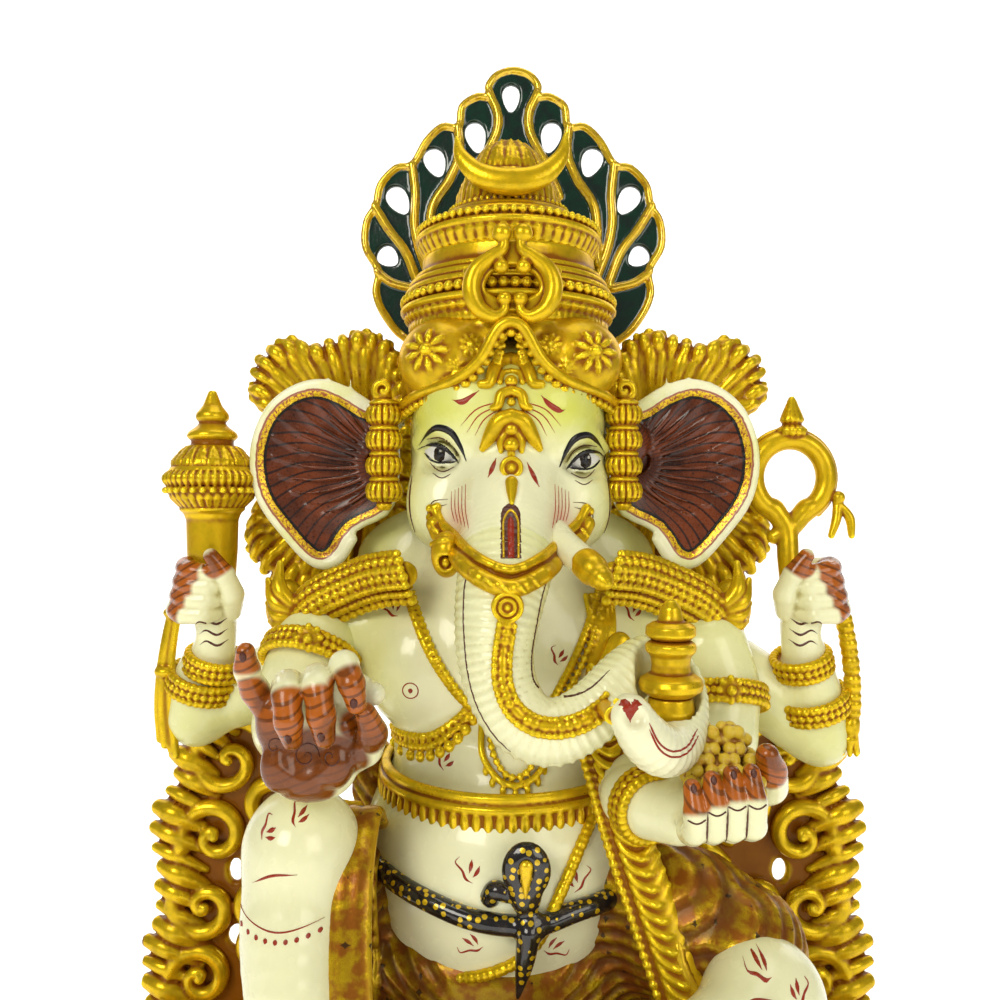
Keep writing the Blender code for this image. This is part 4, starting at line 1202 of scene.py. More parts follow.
# The right half of the fan as (x, z) from its middle: the outline, the holes (with width,
# height and lean) and the ribs
HALF_FAN = [(0, 457), (7, 455), (11, 450), (10.5, 445.5), (16, 445.5), (22.5, 441), (24, 432.5),
            (31, 432.5), (38, 426), (44, 416), (51, 414.5), (58, 407), (60, 398), (64, 391), (64.5, 380),
            (59, 369.5), (60, 360), (56, 350), (47, 340), (30, 334)]
FAN_HOLES = ((16.3, 428, 4.2, 6.8, 0.2), (34, 417, 4.4, 6.4, 0.35), (50, 400.5, 4.4, 6.6, 0.55),
             (54.5, 376, 4.2, 4.8, 0.9))
FAN_RIBS = (((10.5, 446.5), (6.8, 438), (7.6, 429), (14.0, 417), (20, 402)),
            ((24, 432.5), (23.6, 420), (28, 409), (35.5, 396), (36.5, 372)),
            ((44, 416), (42.6, 403), (43.0, 390), (40.5, 378), (36, 366)),
            ((60.5, 398), (54.5, 388), (47.0, 378), (41, 363)),
            ((59.5, 369.5), (53, 364.5), (43, 362)))


class IDOL_OT_fan(bpy.types.Operator):
    """Cast the pierced feather fan behind the crown"""
    bl_idname = "idol.fan"
    bl_label = "Feather Fan"

    def execute(self, context):
        middle = 2.5
        outline = [(middle + x, z) for x, z in HALF_FAN] + [(middle - x, z) for x, z in HALF_FAN[:0:-1]]
        outline = rounded(outline, 4)
        clay = Clay((-66, 42, 330), (71, 57, 460), 0.8)
        holes = [self.oval((middle - 1, 445), 3.6, 6.0, 0.0)]
        for side in (-1, 1):
            for x, z, wide, high, lean in FAN_HOLES:
                holes.append(self.oval((middle + side * x, z), wide, high, -side * lean))
        clay.plate(outline, 47.5, 51, round_off=1.2, holes=holes)
        edge = [(p[0], 47.6, p[1]) for p in outline if p[1] > 336]
        gilt = [(edge, 1.5)]
        for side in (-1, 1):
            for path in FAN_RIBS:
                rib = smooth_route([(middle + side * x, 47.0, z) for x, z in path], 2.5)
                gilt.append(([tuple(p) for p in rib], 1.5))
        for path, radius in gilt:
            route = [(*p, radius) for p in path]
            clay.tube(route, blend=0.5, smooth=False)
        lines = [(np.array(path), radius) for path, radius in gilt]

        def near_gold(x, y, z):
            best = np.full(len(x), 1e9)
            for path, radius in lines:
                for a, b in zip(path, path[1:]):
                    run = (b - a)[[0, 2]]
                    t = np.clip(((x - a[0]) * run[0] + (z - a[2]) * run[1]) / max(run @ run, 1e-6), 0, 1)
                    away = np.hypot(x - a[0] - run[0] * t, z - a[2] - run[1] * t) / radius
                    best = np.minimum(best, away)
            return np.clip(1.25 - 0.6 * best, 0, 1)

        piece = clay.skin("fan_cast", "feather_enamel", wash_and_shading=1.6, gilt=near_gold)
        settle(piece, "green_enamel", "feather_fan")
        return {"FINISHED"}

    def oval(self, centre, wide, high, lean):
        points = []
        for k in range(16):
            angle = TAU * k / 16
            x = wide * math.cos(angle) * (1 + 0.30 * math.sin(angle))
            z = high * math.sin(angle)
            points.append((centre[0] + x * math.cos(lean) - z * math.sin(lean),
                           centre[1] + x * math.sin(lean) + z * math.cos(lean)))
        return np.array(points)


# --------------------------------------------------------------------- torso
class IDOL_OT_torso(bpy.types.Operator):
    """Shape the great belly, the chest and the shoulders"""
    bl_idname = "idol.torso"
    bl_label = "Torso"

    def execute(self, context):
        clay = Clay((-86, -50, 74), (86, 76, 276), 1.25)
        clay.ball((-1, 14, 133), (56, 56.5, 56.5))
        clay.ball((3, 20, 205), (57, 39, 43), blend=10)
        clay.ball((-33, 3, 206), (22, 19.5, 25), blend=6)
        clay.ball((36, 3, 206), (21, 19, 25), blend=6)
        clay.tube([(-76, 22, 210, 18.5), (-50, 20, 218, 24.5), (50, 20, 218, 24.5), (76, 22, 208, 18.5)],
                  blend=8)
        clay.tube([(0, 20, 222, 36), (0, 16, 252, 31)], blend=8, smooth=False)
        clay.ball((-1, 27, 246), (61, 16, 27), blend=8)
        clay.ball((0, 15, 177), (45, 41, 20), blend=7)
        clay.ball((3, -43.5, 122), (3.2, 3.4, 2.6), blend=2, cut=True)
        # tint: yellow-green spray as painted shade, stronger on the flanks and towards the back
        tint = lambda x, y, z: np.clip((np.abs(x) - 34) / 30, 0, 0.5) + np.clip((y - 10) / 60, 0, 0.4)
        forms["torso"] = clay
        carve(clay, "torso_cast", 3.0, "torso", tint=tint)
        return {"FINISHED"}


# ---------------------------------------------------------------------- arms
def finger(clay, points):
    """One finger: a bar through its joints, with a knuckle at each bend."""
    clay.tube(points, blend=0.9, spacing=1.2)
    for joint in points[1:-1]:
        clay.ball(joint[:3], joint[3] * 1.07, blend=1.0)


def stain_near(spots):
    """A henna zone: how close a point is to any of the stained fingertips."""
    def zone(x, y, z):
        best = np.zeros(len(x))
        for cx, cy, cz, reach in spots:
            away = np.sqrt((x - cx) ** 2 + (y - cy) ** 2 + (z - cz) ** 2) / reach
            best = np.maximum(best, 1.45 - away)
        return np.clip(best, 0, 1)
    return zone


class IDOL_OT_back_arms(bpy.types.Operator):
    """Shape the two raised rear arms and their closed hands"""
    bl_idname = "idol.back_arms"
    bl_label = "Raised Arms"

    def execute(self, context):
        self.arm(-1, "right", 184.0)
        self.arm(1, "left", 176.0)
        return {"FINISHED"}

    def arm(self, side, label, elbow):
        low = (min(side * 70, side * 140), -12, elbow - 16)
        high = (max(side * 70, side * 140), 46, 262)
        clay = Clay(low, high, 0.95)
        clay.tube([(side * 76, 25, 207, 16.0), (side * 98, 21, 196, 14.2), (side * 115, 18, elbow + 5, 12),
                   (side * 124, 16, elbow, 10.5)], blend=1)
        clay.tube([(side * 124, 16, elbow, 11.5), (side * 121, 13, elbow + 16, 11.2),
                   (side * 117, 11, 208, 8.8), (side * 114.5, 9, 217, 7.6), (side * 115, 8.5, 226, 8.4)],
                  blend=5)
        clay.ball((side * 117, 9, 234), (10.5, 8.5, 10.5), blend=3)
        tips = []
        for k in range(4):
            z = 243.5 - 5.4 * k
            x = 116 + 1.2 * k
            knuckle = (side * (x + 8.5), 4.5, z + 0.5, 3.9)
            points = [(side * (x + 4), 12, z, 3.7), knuckle, (side * (x + 4.5), -1.5, z - 0.6, 3.7),
                      (side * (x - 3.5), -3.0, z - 1.0, 3.3), (side * (x - 7), 0.5, z - 1.0, 2.8)]
            finger(clay, points)
            tips.append((side * (x + 6.5), -1, z, 8.2 - k * 1.1))
        thumb = [(side * 108, 6, 227, 4.2), (side * 105.5, 0, 234, 4.1), (side * 107.5, -4.0, 242, 3.6),
                 (side * 112, -5.5, 249, 2.9)]
        finger(clay, thumb)
        tips.append((side * 110, -5, 246, 6.0))
        # tint: yellow-green spray as painted shade, stronger lower down the arm
        tint = lambda x, y, z: np.clip((210 - z) / 60, 0, 0.45) + 0.12
        carve(clay, "arm_back_cast_" + label, 1.6, "arm_back_" + label, tint=tint, henna=stain_near(tips))


class IDOL_OT_front_arms(bpy.types.Operator):
    """Shape the two front arms: one holds the tusk, one offers the sweets"""
    bl_idname = "idol.front_arms"
    bl_label = "Front Arms"

    def execute(self, context):
        self.blessing_hand()
        self.offering_hand()
        self.held_tusk()
        return {"FINISHED"}

    def blessing_hand(self):
        clay = Clay((-98, -92, 170), (-36, 22, 236), 0.75)
        clay.tube([(-74, 2, 214, 16.5), (-78, -8, 200, 15.2), (-78, -18, 189, 13.8)], blend=1)
        clay.tube([(-78, -18, 188, 13.5), (-71, -37, 188, 12.2), (-65, -52, 191, 9.0),
                   (-62, -60, 195, 8.6)],
                  blend=5)
        clay.ball((-61, -65, 198), (16.5, 8.0, 13), blend=4)
        clay.ball((-70, -69, 202), (8.0, 5.5, 10), blend=3)
        clay.ball((-53, -69, 200), (7.5, 5.5, 8), blend=3)
        clay.ball((-62, -65, 187), (14.5, 8.5, 10.5), blend=4)
        clay.ball((-70.5, -71, 189), (5.5, 4.0, 7.5), blend=2.5)
        clay.ball((-53.5, -71.5, 190), (6.0, 4.2, 7.0), blend=2.5)
        clay.ball((-62, -75.0, 195), (6.5, 3.6, 8.0), blend=3, cut=True)
        finger(clay, [(-74, -66, 204, 4.6), (-78, -69.5, 212, 4.2), (-79.5, -73, 219, 3.7),
                      (-79.5, -74.5, 224.5, 2.9)])
        finger(clay, [(-67.5, -67, 206, 4.9), (-67, -73, 214, 4.7), (-65.5, -81, 213, 4.4),
                      (-64.5, -83.5, 206, 4.0), (-64, -81, 200, 3.2)])
        finger(clay, [(-58.5, -67, 207, 4.9), (-58, -73, 216, 4.7), (-56.5, -81, 215.5, 4.4),
                      (-55, -83.5, 207.5, 4.0), (-54.5, -81, 200.5, 3.2)])
        finger(clay, [(-51, -66, 207, 4.8), (-51, -70, 216.5, 4.6), (-49.5, -77, 221, 4.2),
                      (-46.5, -82, 216.5, 3.8), (-45, -82.5, 210.5, 3.0)])
        finger(clay, [(-50, -64, 190, 5.6), (-44.5, -69, 194, 5.0), (-41.5, -74, 200, 4.3),
                      (-43, -78, 207, 3.2)])
        tips = [(-79.5, -74, 223, 6.0), (-64.3, -83, 203, 7.4), (-54.8, -83, 204, 7.4),
                (-45.5, -83, 214, 8.6), (-43, -77, 203, 9.5), (-61, -78, 190, 13.5), (-71, -78, 190, 11),
                (-52, -78, 190, 11), (-62, -76, 180, 11), (-77.5, -76, 209, 8.5), (-76, -76, 200, 8),
                (-64.5, -84, 209, 7.5), (-55.5, -84, 210, 7.5)]
        # tint: yellow-green spray as painted shade, stronger towards the back
        tint = lambda x, y, z: np.clip((y + 30) / 60, 0, 0.4) + 0.12
        palm = lambda x, y, z: np.clip((206 - z) / 8, 0, 1) * np.clip((y + 84) / 4, 0, 1)
        carve(clay, "arm_front_cast_right", 1.6, "arm_front_right",
              tint=tint, henna=stain_near(tips), palm=palm)

    def offering_hand(self):
        clay = Clay((24, -92, 150), (100, 22, 236), 0.75)
        clay.tube([(76, 4, 212, 16.5), (80, -2, 198, 15.2), (78, -9, 184, 13.8)], blend=1)
        clay.tube([(77, -8, 180, 13.8), (60, -19, 174, 14.2), (44, -33, 171, 13.0), (44, -45, 169, 10.5),
                   (54, -54, 168, 9.0)], blend=5)
        clay.ball((65, -57, 174), (16, 15, 7.6), turn=(20, 0, 0), blend=4)
        clay.ball((65, -60, 184), (11, 10, 6), turn=(20, 0, 0), blend=3, cut=True)
        tips = []
        for index, rise in enumerate((0, 2.4, 4.0, 4.4)):
            x = 53.4 + 5.8 * index
            points = [(x + 1.6, -60, 173, 4.0), (x + 1.0, -71, 169.5 + 0.5 * index, 3.8),
                      (x + 0.6, -79, 172.5 + 0.5 * index, 3.6), (x, -82.6, 179 + 0.7 * rise, 3.3),
                      (x - 0.6, -81, 186 + rise, 2.6)]
            finger(clay, points)
            tips.append((x - 0.2, -81.5, 184 + rise, 6.6))
        finger(clay, [(78, -52, 175, 5.4), (81.5, -61, 180, 5.2), (79.5, -68, 187, 4.8),
                      (77.5, -72, 193, 3.5)])
        tips.append((78.5, -70, 190, 8.2))
        # tint: yellow-green spray as painted shade, stronger towards the back
        tint = lambda x, y, z: np.clip((y + 30) / 60, 0, 0.4) + 0.12
        carve(clay, "arm_front_cast_left", 1.6, "arm_front_left", tint=tint, henna=stain_near(tips))

    def held_tusk(self):
        clay = Clay((-54, -76, 205), (-34, -60, 220), 0.5)
        clay.tube([(-49, -65.5, 213.4, 3.0), (-41.6, -70.2, 211, 3.5)], smooth=False)
        clay.tube([(-46.6, -67, 212.6, 3.9), (-45.8, -67.5, 212.3, 3.9)], blend=0.4, smooth=False)
        carve(clay, "held_tusk_cast", 1.0, "held_tusk")


class IDOL_OT_hand_goods(bpy.types.Operator):
    """Cast the mace, the noose, the water pot and the heap of sweets"""
    bl_idname = "idol.hand_goods"
    bl_label = "Things Held"

    def execute(self, context):
        self.mace()
        self.noose()
        self.pot()
        self.sweets()
        return {"FINISHED"}

    def mace(self):
        clay = Clay((-139, -10, 222), (-95, 34, 317), 0.6)
        axis = (-117, 12, 0)
        clay.turned(axis, [(8.0, 226), (9.6, 250), (9.9, 262), (11.0, 265)], blend=0.6)
        clay.turned(axis, [(11.2, 265), (12.6, 266.2), (11.6, 268)], blend=0.3)
        clay.turned(axis, [(12.4, 267.4), (15.6, 270.6), (17.0, 275)], blend=0.4,
                    relief=lambda a, z, r: flutes(a, 30, 0.8))
        clay.turned(axis, [(17.0, 275.4), (18.6, 277.4), (18.6, 279.4), (17.0, 281)], blend=0.4,
                    relief=lambda a, z, r: 0.35 * np.sin(a * 40))
        clay.turned(axis, [(16.8, 281), (15.6, 283), (14.6, 284)], blend=0.4)
        clay.turned(axis, [(15.2, 283.6), (14.8, 285.4), (12.0, 289), (9.0, 291.4)], blend=0.3,
                    relief=lambda a, z, r: lotus_leaves(a, z, 18, 283.6, 291.6, 0.8))
        clay.turned(axis, [(8.2, 290), (8.0, 294)], blend=0.6)
        clay.turned(axis, [(8.6, 293.6), (9.8, 295), (9.2, 296.6), (6.0, 299), (4.8, 300.6)], blend=0.4)
        clay.turned(axis, [(4.6, 300), (6.4, 302.2), (6.2, 304), (3.6, 307.4), (1.4, 313.2)], blend=0.4)
        for k in range(30):
            angle = TAU * k / 30
            clay.ball((-117 + 17.6 * math.cos(angle), 12 + 17.6 * math.sin(angle), 273.8), 1.35, blend=0.25)
        gild(clay, "mace_cast", 1.2, "mace")

    def noose(self):
        clay = Clay((88, -2, 222), (136, 26, 314), 0.55)
        loop = []
        for k in range(15):
            angle = math.radians(-155 + 310 * k / 14)
            loop.append((112 + 14.4 * math.sin(angle), 14, 279 + 15.0 * math.cos(angle), 4.0))
        clay.tube(loop)
        edge = []
        for degrees in range(-140, 141, 20):
            angle = math.radians(degrees)
            edge.append((112 + 18.4 * math.sin(angle), 15.5, 279 + 19.0 * math.cos(angle), 1.2))
        clay.tube(edge, blend=0.8)
        clay.tube([(105.6, 14, 266.5, 4.0), (110, 12.5, 258, 4.1), (110.4, 11, 246, 4.1),
                   (112, 10, 226, 3.9)],
                  blend=1.2)
        clay.tube([(118.6, 14, 266.5, 4.0), (111.6, 13, 259, 4.0), (105.5, 13, 255.5, 3.0)], blend=1.0)
        clay.turned((112.8, 14, 0), [(2.6, 294), (5.6, 296), (5.8, 298), (3.2, 300), (4.6, 301.6),
                                     (4.2, 303), (1.0, 311)], blend=0.6, relief=lambda a, z,
                    r: flutes(a, 12, 0.5))
        for side in (-1, 1):
            clay.tube([(130, 12, 269, 1.6), (132 + 2.5 * side, 11, 263, 1.9),
                       (131 + 4 * side, 10, 256, 1.3)],
                      blend=0.6)
        clay.ball((130.5, 12, 271), 2.6, blend=0.8)
        gild(clay, "noose_cast", 1.2, "noose")

    def pot(self):
        clay = Clay((36, -77, 193), (64, -49, 242), 0.45)
        axis = (50, -63, 0)
        clay.turned(axis, [(4.8, 196), (6.8, 199), (7.4, 204.5), (6.8, 208.6)], blend=0.6)
        clay.turned(axis, [(7.0, 209), (9.8, 211), (10.0, 212.6), (9.6, 214.4), (7.0, 216)], blend=0.5)
        clay.turned(axis, [(9.8, 212.1), (10.25, 212.7), (9.8, 213.3)], blend=0.2)
        clay.turned(axis, [(6.3, 215.6), (5.9, 218.5), (6.4, 221.6)], blend=0.4)
        clay.turned(axis, [(6.4, 221.4), (7.9, 223), (7.9, 225), (6.4, 226.2)], blend=0.3)
        clay.turned(axis, [(6.2, 226.6), (7.9, 228), (7.7, 230.6), (5.6, 232)], blend=0.3)
        clay.turned(axis, [(4.6, 231), (3.6, 234), (3.2, 236.4), (1.4, 238.8)], blend=0.5)
        gild(clay, "pot_cast", 1.2, "water_pot")

    def sweets(self):
        clay = Clay((48, -82, 176), (80, -48, 204), 0.5)
        clay.ball((64, -64, 182), (9.5, 9, 10))
        for row in range(7):
            count = 6 - row // 2
            for k in range(count):
                x = 64 + (k - (count - 1) / 2) * 3.9 + 0.7 * math.sin(row * 5 + k * 3) + 0.25 * row
                clay.ball((x, -76.0 + 2.3 * row, 182.5 + 2.7 * row), 2.15, blend=0.2)
                clay.ball((x + 1.6, -58.0 - 1.2 * row, 182.5 + 2.6 * row), 2.15, blend=0.2)
        settle(clay.skin("sweets_cast", "milk_sweet", wash_and_shading=1.2), "sweet_yellow", "sweets")


# ---------------------------------------------------------------- lower body
class IDOL_OT_legs(bpy.types.Operator):
    """Shape the raised knee, the folded leg and the feet"""
    bl_idname = "idol.legs"
    bl_label = "Legs"

    def execute(self, context):
        clay = Clay((-92, -108, 70), (-44, -18, 180), 1.1)
        clay.tube([(-69, -44, 152, 18.5), (-70, -55, 130, 16.5), (-67, -65, 106, 13.5),
                   (-64, -69, 90, 10.5), (-63, -70, 82, 9.5)], blend=1)
        clay.ball((-69, -46, 156), (18, 19, 19), blend=6)
        clay.ball((-62, -80, 80), (11, 18, 7.2), blend=5)
        tips = []
        for k in range(5):
            x = -71.5 + 4.6 * k
            size = 2.6 + (0.9 if k == 4 else 0)
            tip_y = -99.5 - (1.6 if k in (3, 4) else 0)
            clay.tube([(x * 0.92 - 5, -90, 79.5, size + 0.4), (x, tip_y, 77.4, size)], blend=1.0,
                      smooth=False)
            tips.append((x, -101, 77.4, 5.2))
        # tint: yellow-green spray as painted shade, stronger towards the back
        tint = lambda x, y, z: np.clip((y + 40) / 40, 0, 0.4) + 0.1
        carve(clay, "leg_cast_right", 2.0, "leg_right", tint=tint, henna=stain_near(tips))
        clay = Clay((-24, -108, 68), (104, -32, 136), 1.1)
        clay.tube([(80, -60, 111, 17.5), (66, -72, 105, 16.5), (40, -80, 97, 13.0), (22, -82, 91, 10.0)],
                  blend=1)
        clay.ball((81, -56, 112), (18, 19.5, 17.5), blend=6)
        clay.ball((6, -84, 81), (19, 10.5, 7.6), blend=5)
        tips = []
        for k in range(5):
            y = -92.5 + 4.2 * k
            size = 2.5 + (0.9 if k == 0 else 0)
            clay.tube([(-8, y * 0.95 - 4, 80.5, size + 0.3), (-17.5, y, 79.0, size)], blend=1.0,
                      smooth=False)
            tips.append((-19, y, 79.0, 5.0))
        carve(clay, "leg_cast_left", 2.0, "leg_left", tint=tint, henna=stain_near(tips))
        return {"FINISHED"}


class IDOL_OT_dhoti(bpy.types.Operator):
    """Drape the painted dhoti over the hips and thighs in fine folds"""
    bl_idname = "idol.dhoti"
    bl_label = "Dhoti"

    def execute(self, context):
        clay = Clay((-96, -80, 70), (104, 78, 172), 1.2)
        clay.ball((0, 18, 100), (73, 55.5, 29))
        clay.tube([(-44, 14, 106, 25.0), (-64, -14, 128, 21.5), (-70, -33, 143, 19.6)], blend=5)
        clay.tube([(38, 10, 108, 28.0), (62, -20, 117, 26.0), (79, -40, 119, 20.6)], blend=5)
        clay.turned((0, 10, 0), [(52, 72.6), (54, 80), (48, 95)], blend=6)
        clay.tube([(-48, 22, 140, 13), (-53, 22, 158, 10.5), (-54, 24, 166, 7)], blend=4)
        clay.tube([(26, 0, 118, 27), (48, -18, 130, 20), (62, -30, 128, 20)], blend=6)
        clay.pleat((14, -78, 90), (104, 40, 166), lambda x, y, z: (z * 0.75 - x * 0.42 - y * 0.5) / 4.6,
                   1.3)
        clay.pleat((-96, -60, 90), (-20, 40, 172), lambda x, y, z: (z * 0.7 + x * 0.45 - y * 0.45) / 4.8,
                   1.2)
        for x0, x1 in ((-60.5, -59.5), (-48, -47)):
            clay.tube(clay.laid([(x0 + (x1 - x0) * t, 156 - 76 * t, 1.5) for t in np.linspace(0, 1, 30)],
                                0.3),
                      blend=0.5, smooth=False)
        for k in range(6):
            x, z, turn = -54.3 + 0.2 * k, 149 - 12 * k, 1 if k % 2 else -1
            curl = [(x + turn * (4.0 - 0.17 * t) * math.cos(t * 0.42),
                     z + (4.6 - 0.19 * t) * math.sin(t * 0.42), 1.5 - 0.02 * t) for t in range(20)]
            clay.tube(clay.laid(curl, 0.3), blend=0.4)
        for k in range(14):
            angle = math.radians(220 + 10 * k)
            foot = (66 * math.cos(angle), 16 + 50 * math.sin(angle), 82, 1.4)
            top = (50 * math.cos(angle), 16 + 40 * math.sin(angle), 118, 1.0)
            clay.tube([foot, ((foot[0] + top[0]) / 2 * 1.08, (foot[1] + top[1]) / 2 * 1.08, 100, 1.6), top],
                      blend=2.2)
        drape = [(-51, -16, 152), (-51, -34, 162), (-51, -54, 152), (-50.5, -63.5, 130),
                 (-48.5, -69.5, 106), (-46.5, -71.5, 86)]
        for k in range(5):
            shift = -5.4 + 2.7 * k
            clay.tube([(x + shift, y + 0.25 * abs(k - 2), z, 1.9 + 0.5 * (k % 2)) for x, y, z in drape],
                      blend=1.4)
        clay.tube([(-79, -50, 141, 1.6), (-70, -27, 161, 1.6), (-54, -19, 160, 1.6)], blend=1.2)
        hem = hoop((73, -36, 119), 23.6, (62, 12, 38), 50)
        clay.tube([(*p, 1.9) for p in hem], blend=0.8, smooth=False)
        clay.tube([(p[0] - 3.2, p[1] + 4.2, p[2] - 0.6, 1.5) for p in hem], blend=0.8, smooth=False)
        piece = clay.skin("dhoti_cast", "painted_cloth", wash_and_shading=2.0)
        settle(piece, "gold_paint", "dhoti")
        return {"FINISHED"}


# ------------------------------------------------------------------ backdrop
# Outline (x, z) of the right scroll frame
SCROLL = [(-76, 52.4), (-112, 52.4), (-146, 52.6), (-152, 66), (-152, 82), (-146, 92), (-148, 102),
          (-145, 112), (-149, 124), (-147, 140), (-139, 152), (-140, 164), (-130, 174), (-120, 183),
          (-108, 184), (-98, 179), (-90, 167), (-84, 158), (-80, 130), (-76, 100)]
# x, z, first angle, turns and size of each curl of a scroll frame
CURLS = ((118, 160, 40, 1.35, 19), (124, 128, 200, -1.3, 15), (100, 140, 20, 1.2, 12),
         (128, 98, 150, 1.3, 14), (104, 100, -40, -1.2, 12), (130, 68, 170, -1.3, 13),
         (104, 80, 60, 1.2, 10), (96, 62, 10, -1.1, 9))
# Outline (x, z) of the plume behind the right shoulder
PLUME = [(-70, 226), (-84, 228), (-97, 238), (-107, 250), (-106, 264), (-97, 273), (-99, 288), (-97, 302),
         (-106, 314), (-103, 328), (-92, 336), (-80, 333), (-66, 338), (-53, 337), (-45, 324), (-41, 300),
         (-43, 260)]


def lobes(clay, outline, middle, inward, front, spacing, radius, climb=False):
    """Fat leaf lobes that fan out to the edge of a plate from its middle, with creases between.
    When they climb, each starts at a level that far below its tip."""
    rim = smooth_route([(x, 0, z) for x, z in outline], spacing)
    for k, (x, _, z) in enumerate(rim[:-1]):
        aim = np.array((middle[0], z - middle[1]) if climb else middle)
        edge = np.array((x, z))
        root = edge + (aim - edge) * inward
        swell = radius * (1 + 0.25 * math.sin(k * 2.1))
        centre = (edge * 0.62 + root * 0.38) + np.array((0, 1.5))
        tip = edge + (edge - root) * 0.04
        clay.tube([(root[0], front + 1.5, root[1], swell * 0.5), (centre[0], front - 0.8, centre[1], swell),
                   (tip[0], front + 1.6, tip[1], swell * 0.7)], blend=0.35)


class IDOL_OT_backdrop(bpy.types.Operator):
    """Cast the scrolling acanthus frames and the plumes behind the shoulders"""
    bl_idname = "idol.backdrop"
    bl_label = "Backdrop"

    def execute(self, context):
        for side, label in SIDES:
            self.scrolls(side, label)
            self.plume(side, label)
        return {"FINISHED"}

    def scrolls(self, side, label):
        outline = rounded(SCROLL if side < 0 else flipped(SCROLL), 3)
        clay = Clay((min(side * 74, side * 155), 28, 52), (max(side * 74, side * 155), 49, 188), 0.95)
        holes = []
        for x, z, wide, high in ((116, 112, 3.0, 5.0), (115, 84, 4.5, 5.0), (94, 70, 4, 4)):
            holes.append(np.array([(side * x + wide * math.cos(k * TAU / 10),
                                    z + high * math.sin(k * TAU / 10))
                                   for k in range(10)]))
        clay.plate(outline, 39.5, 43.5, round_off=1.8, holes=holes)
        front = 37.5
        for x, z, start, turns, size in CURLS:
            begin = math.radians(start if side < 0 else 180 - start)
            clay.tube(spiral((side * x, z), begin, -side * turns, size, 1.5, 4.0, front, -1.5), blend=1.0)
            clay.ball((side * x, front - 2.2, z), 2.2, blend=0.6)
            crest = spiral((side * x, z), begin, -side * turns * 0.9, size, 2.5, 3.1, front, -1.5)
            clay.tube([(px, py - 2.0, pz, pr * 0.28) for px, py, pz, pr in crest], blend=0.4)
        lobes(clay, outline, (side * 108, 18), 0.5, front, 8.6, 4.0, climb=True)
        # deep: painted shade that darkens the back plate between the curls
        deep = lambda x, y, z: np.clip((y - 38.2) / 1.6, 0, 0.7) * (y < 42.4)
        gild(clay, "scroll_cast_" + label, 2.2, "scroll_frame_" + label, deep=deep)

    def plume(self, side, label):
        outline = rounded(PLUME if side < 0 else flipped(PLUME), 3)
        clay = Clay((min(side * 38, side * 110), 24, 222), (max(side * 38, side * 110), 42, 342), 0.9)
        clay.plate(outline, 32.5, 37, round_off=2.0)
        front = 31.6
        lobes(clay, outline, (side * 60, 286), 0.5, front, 5.4, 2.9)
        lobes(clay, outline, (side * 60, 286), 0.22, front - 1.6, 6.4, 2.4)
        for x, z, size, start in ((99, 322, 6, 30), (54, 330, 5, 120), (100, 262, 5, -20),
                                  (99, 246, 5, 10)):
            begin = math.radians(start if side < 0 else 180 - start)
            clay.tube(spiral((side * x, z), begin, 1.1 * side, size, 0.8, 1.6, front - 0.3, -0.8),
                      blend=0.6)
        # deep: painted shade that darkens the back plate between the lobes
        deep = lambda x, y, z: np.clip((y - 31.8) / 1.4, 0, 0.7) * (y < 35.8)
        gild(clay, "plume_cast_" + label, 2.0, "shoulder_plume_" + label, deep=deep)


# ---------------------------------------------------------------------- base
def corner_reach(angle):
    """How far out a rounded square of half width 1 reaches, at an angle."""
    return (np.abs(np.cos(angle)) ** 4 + np.abs(np.sin(angle)) ** 4) ** -0.25


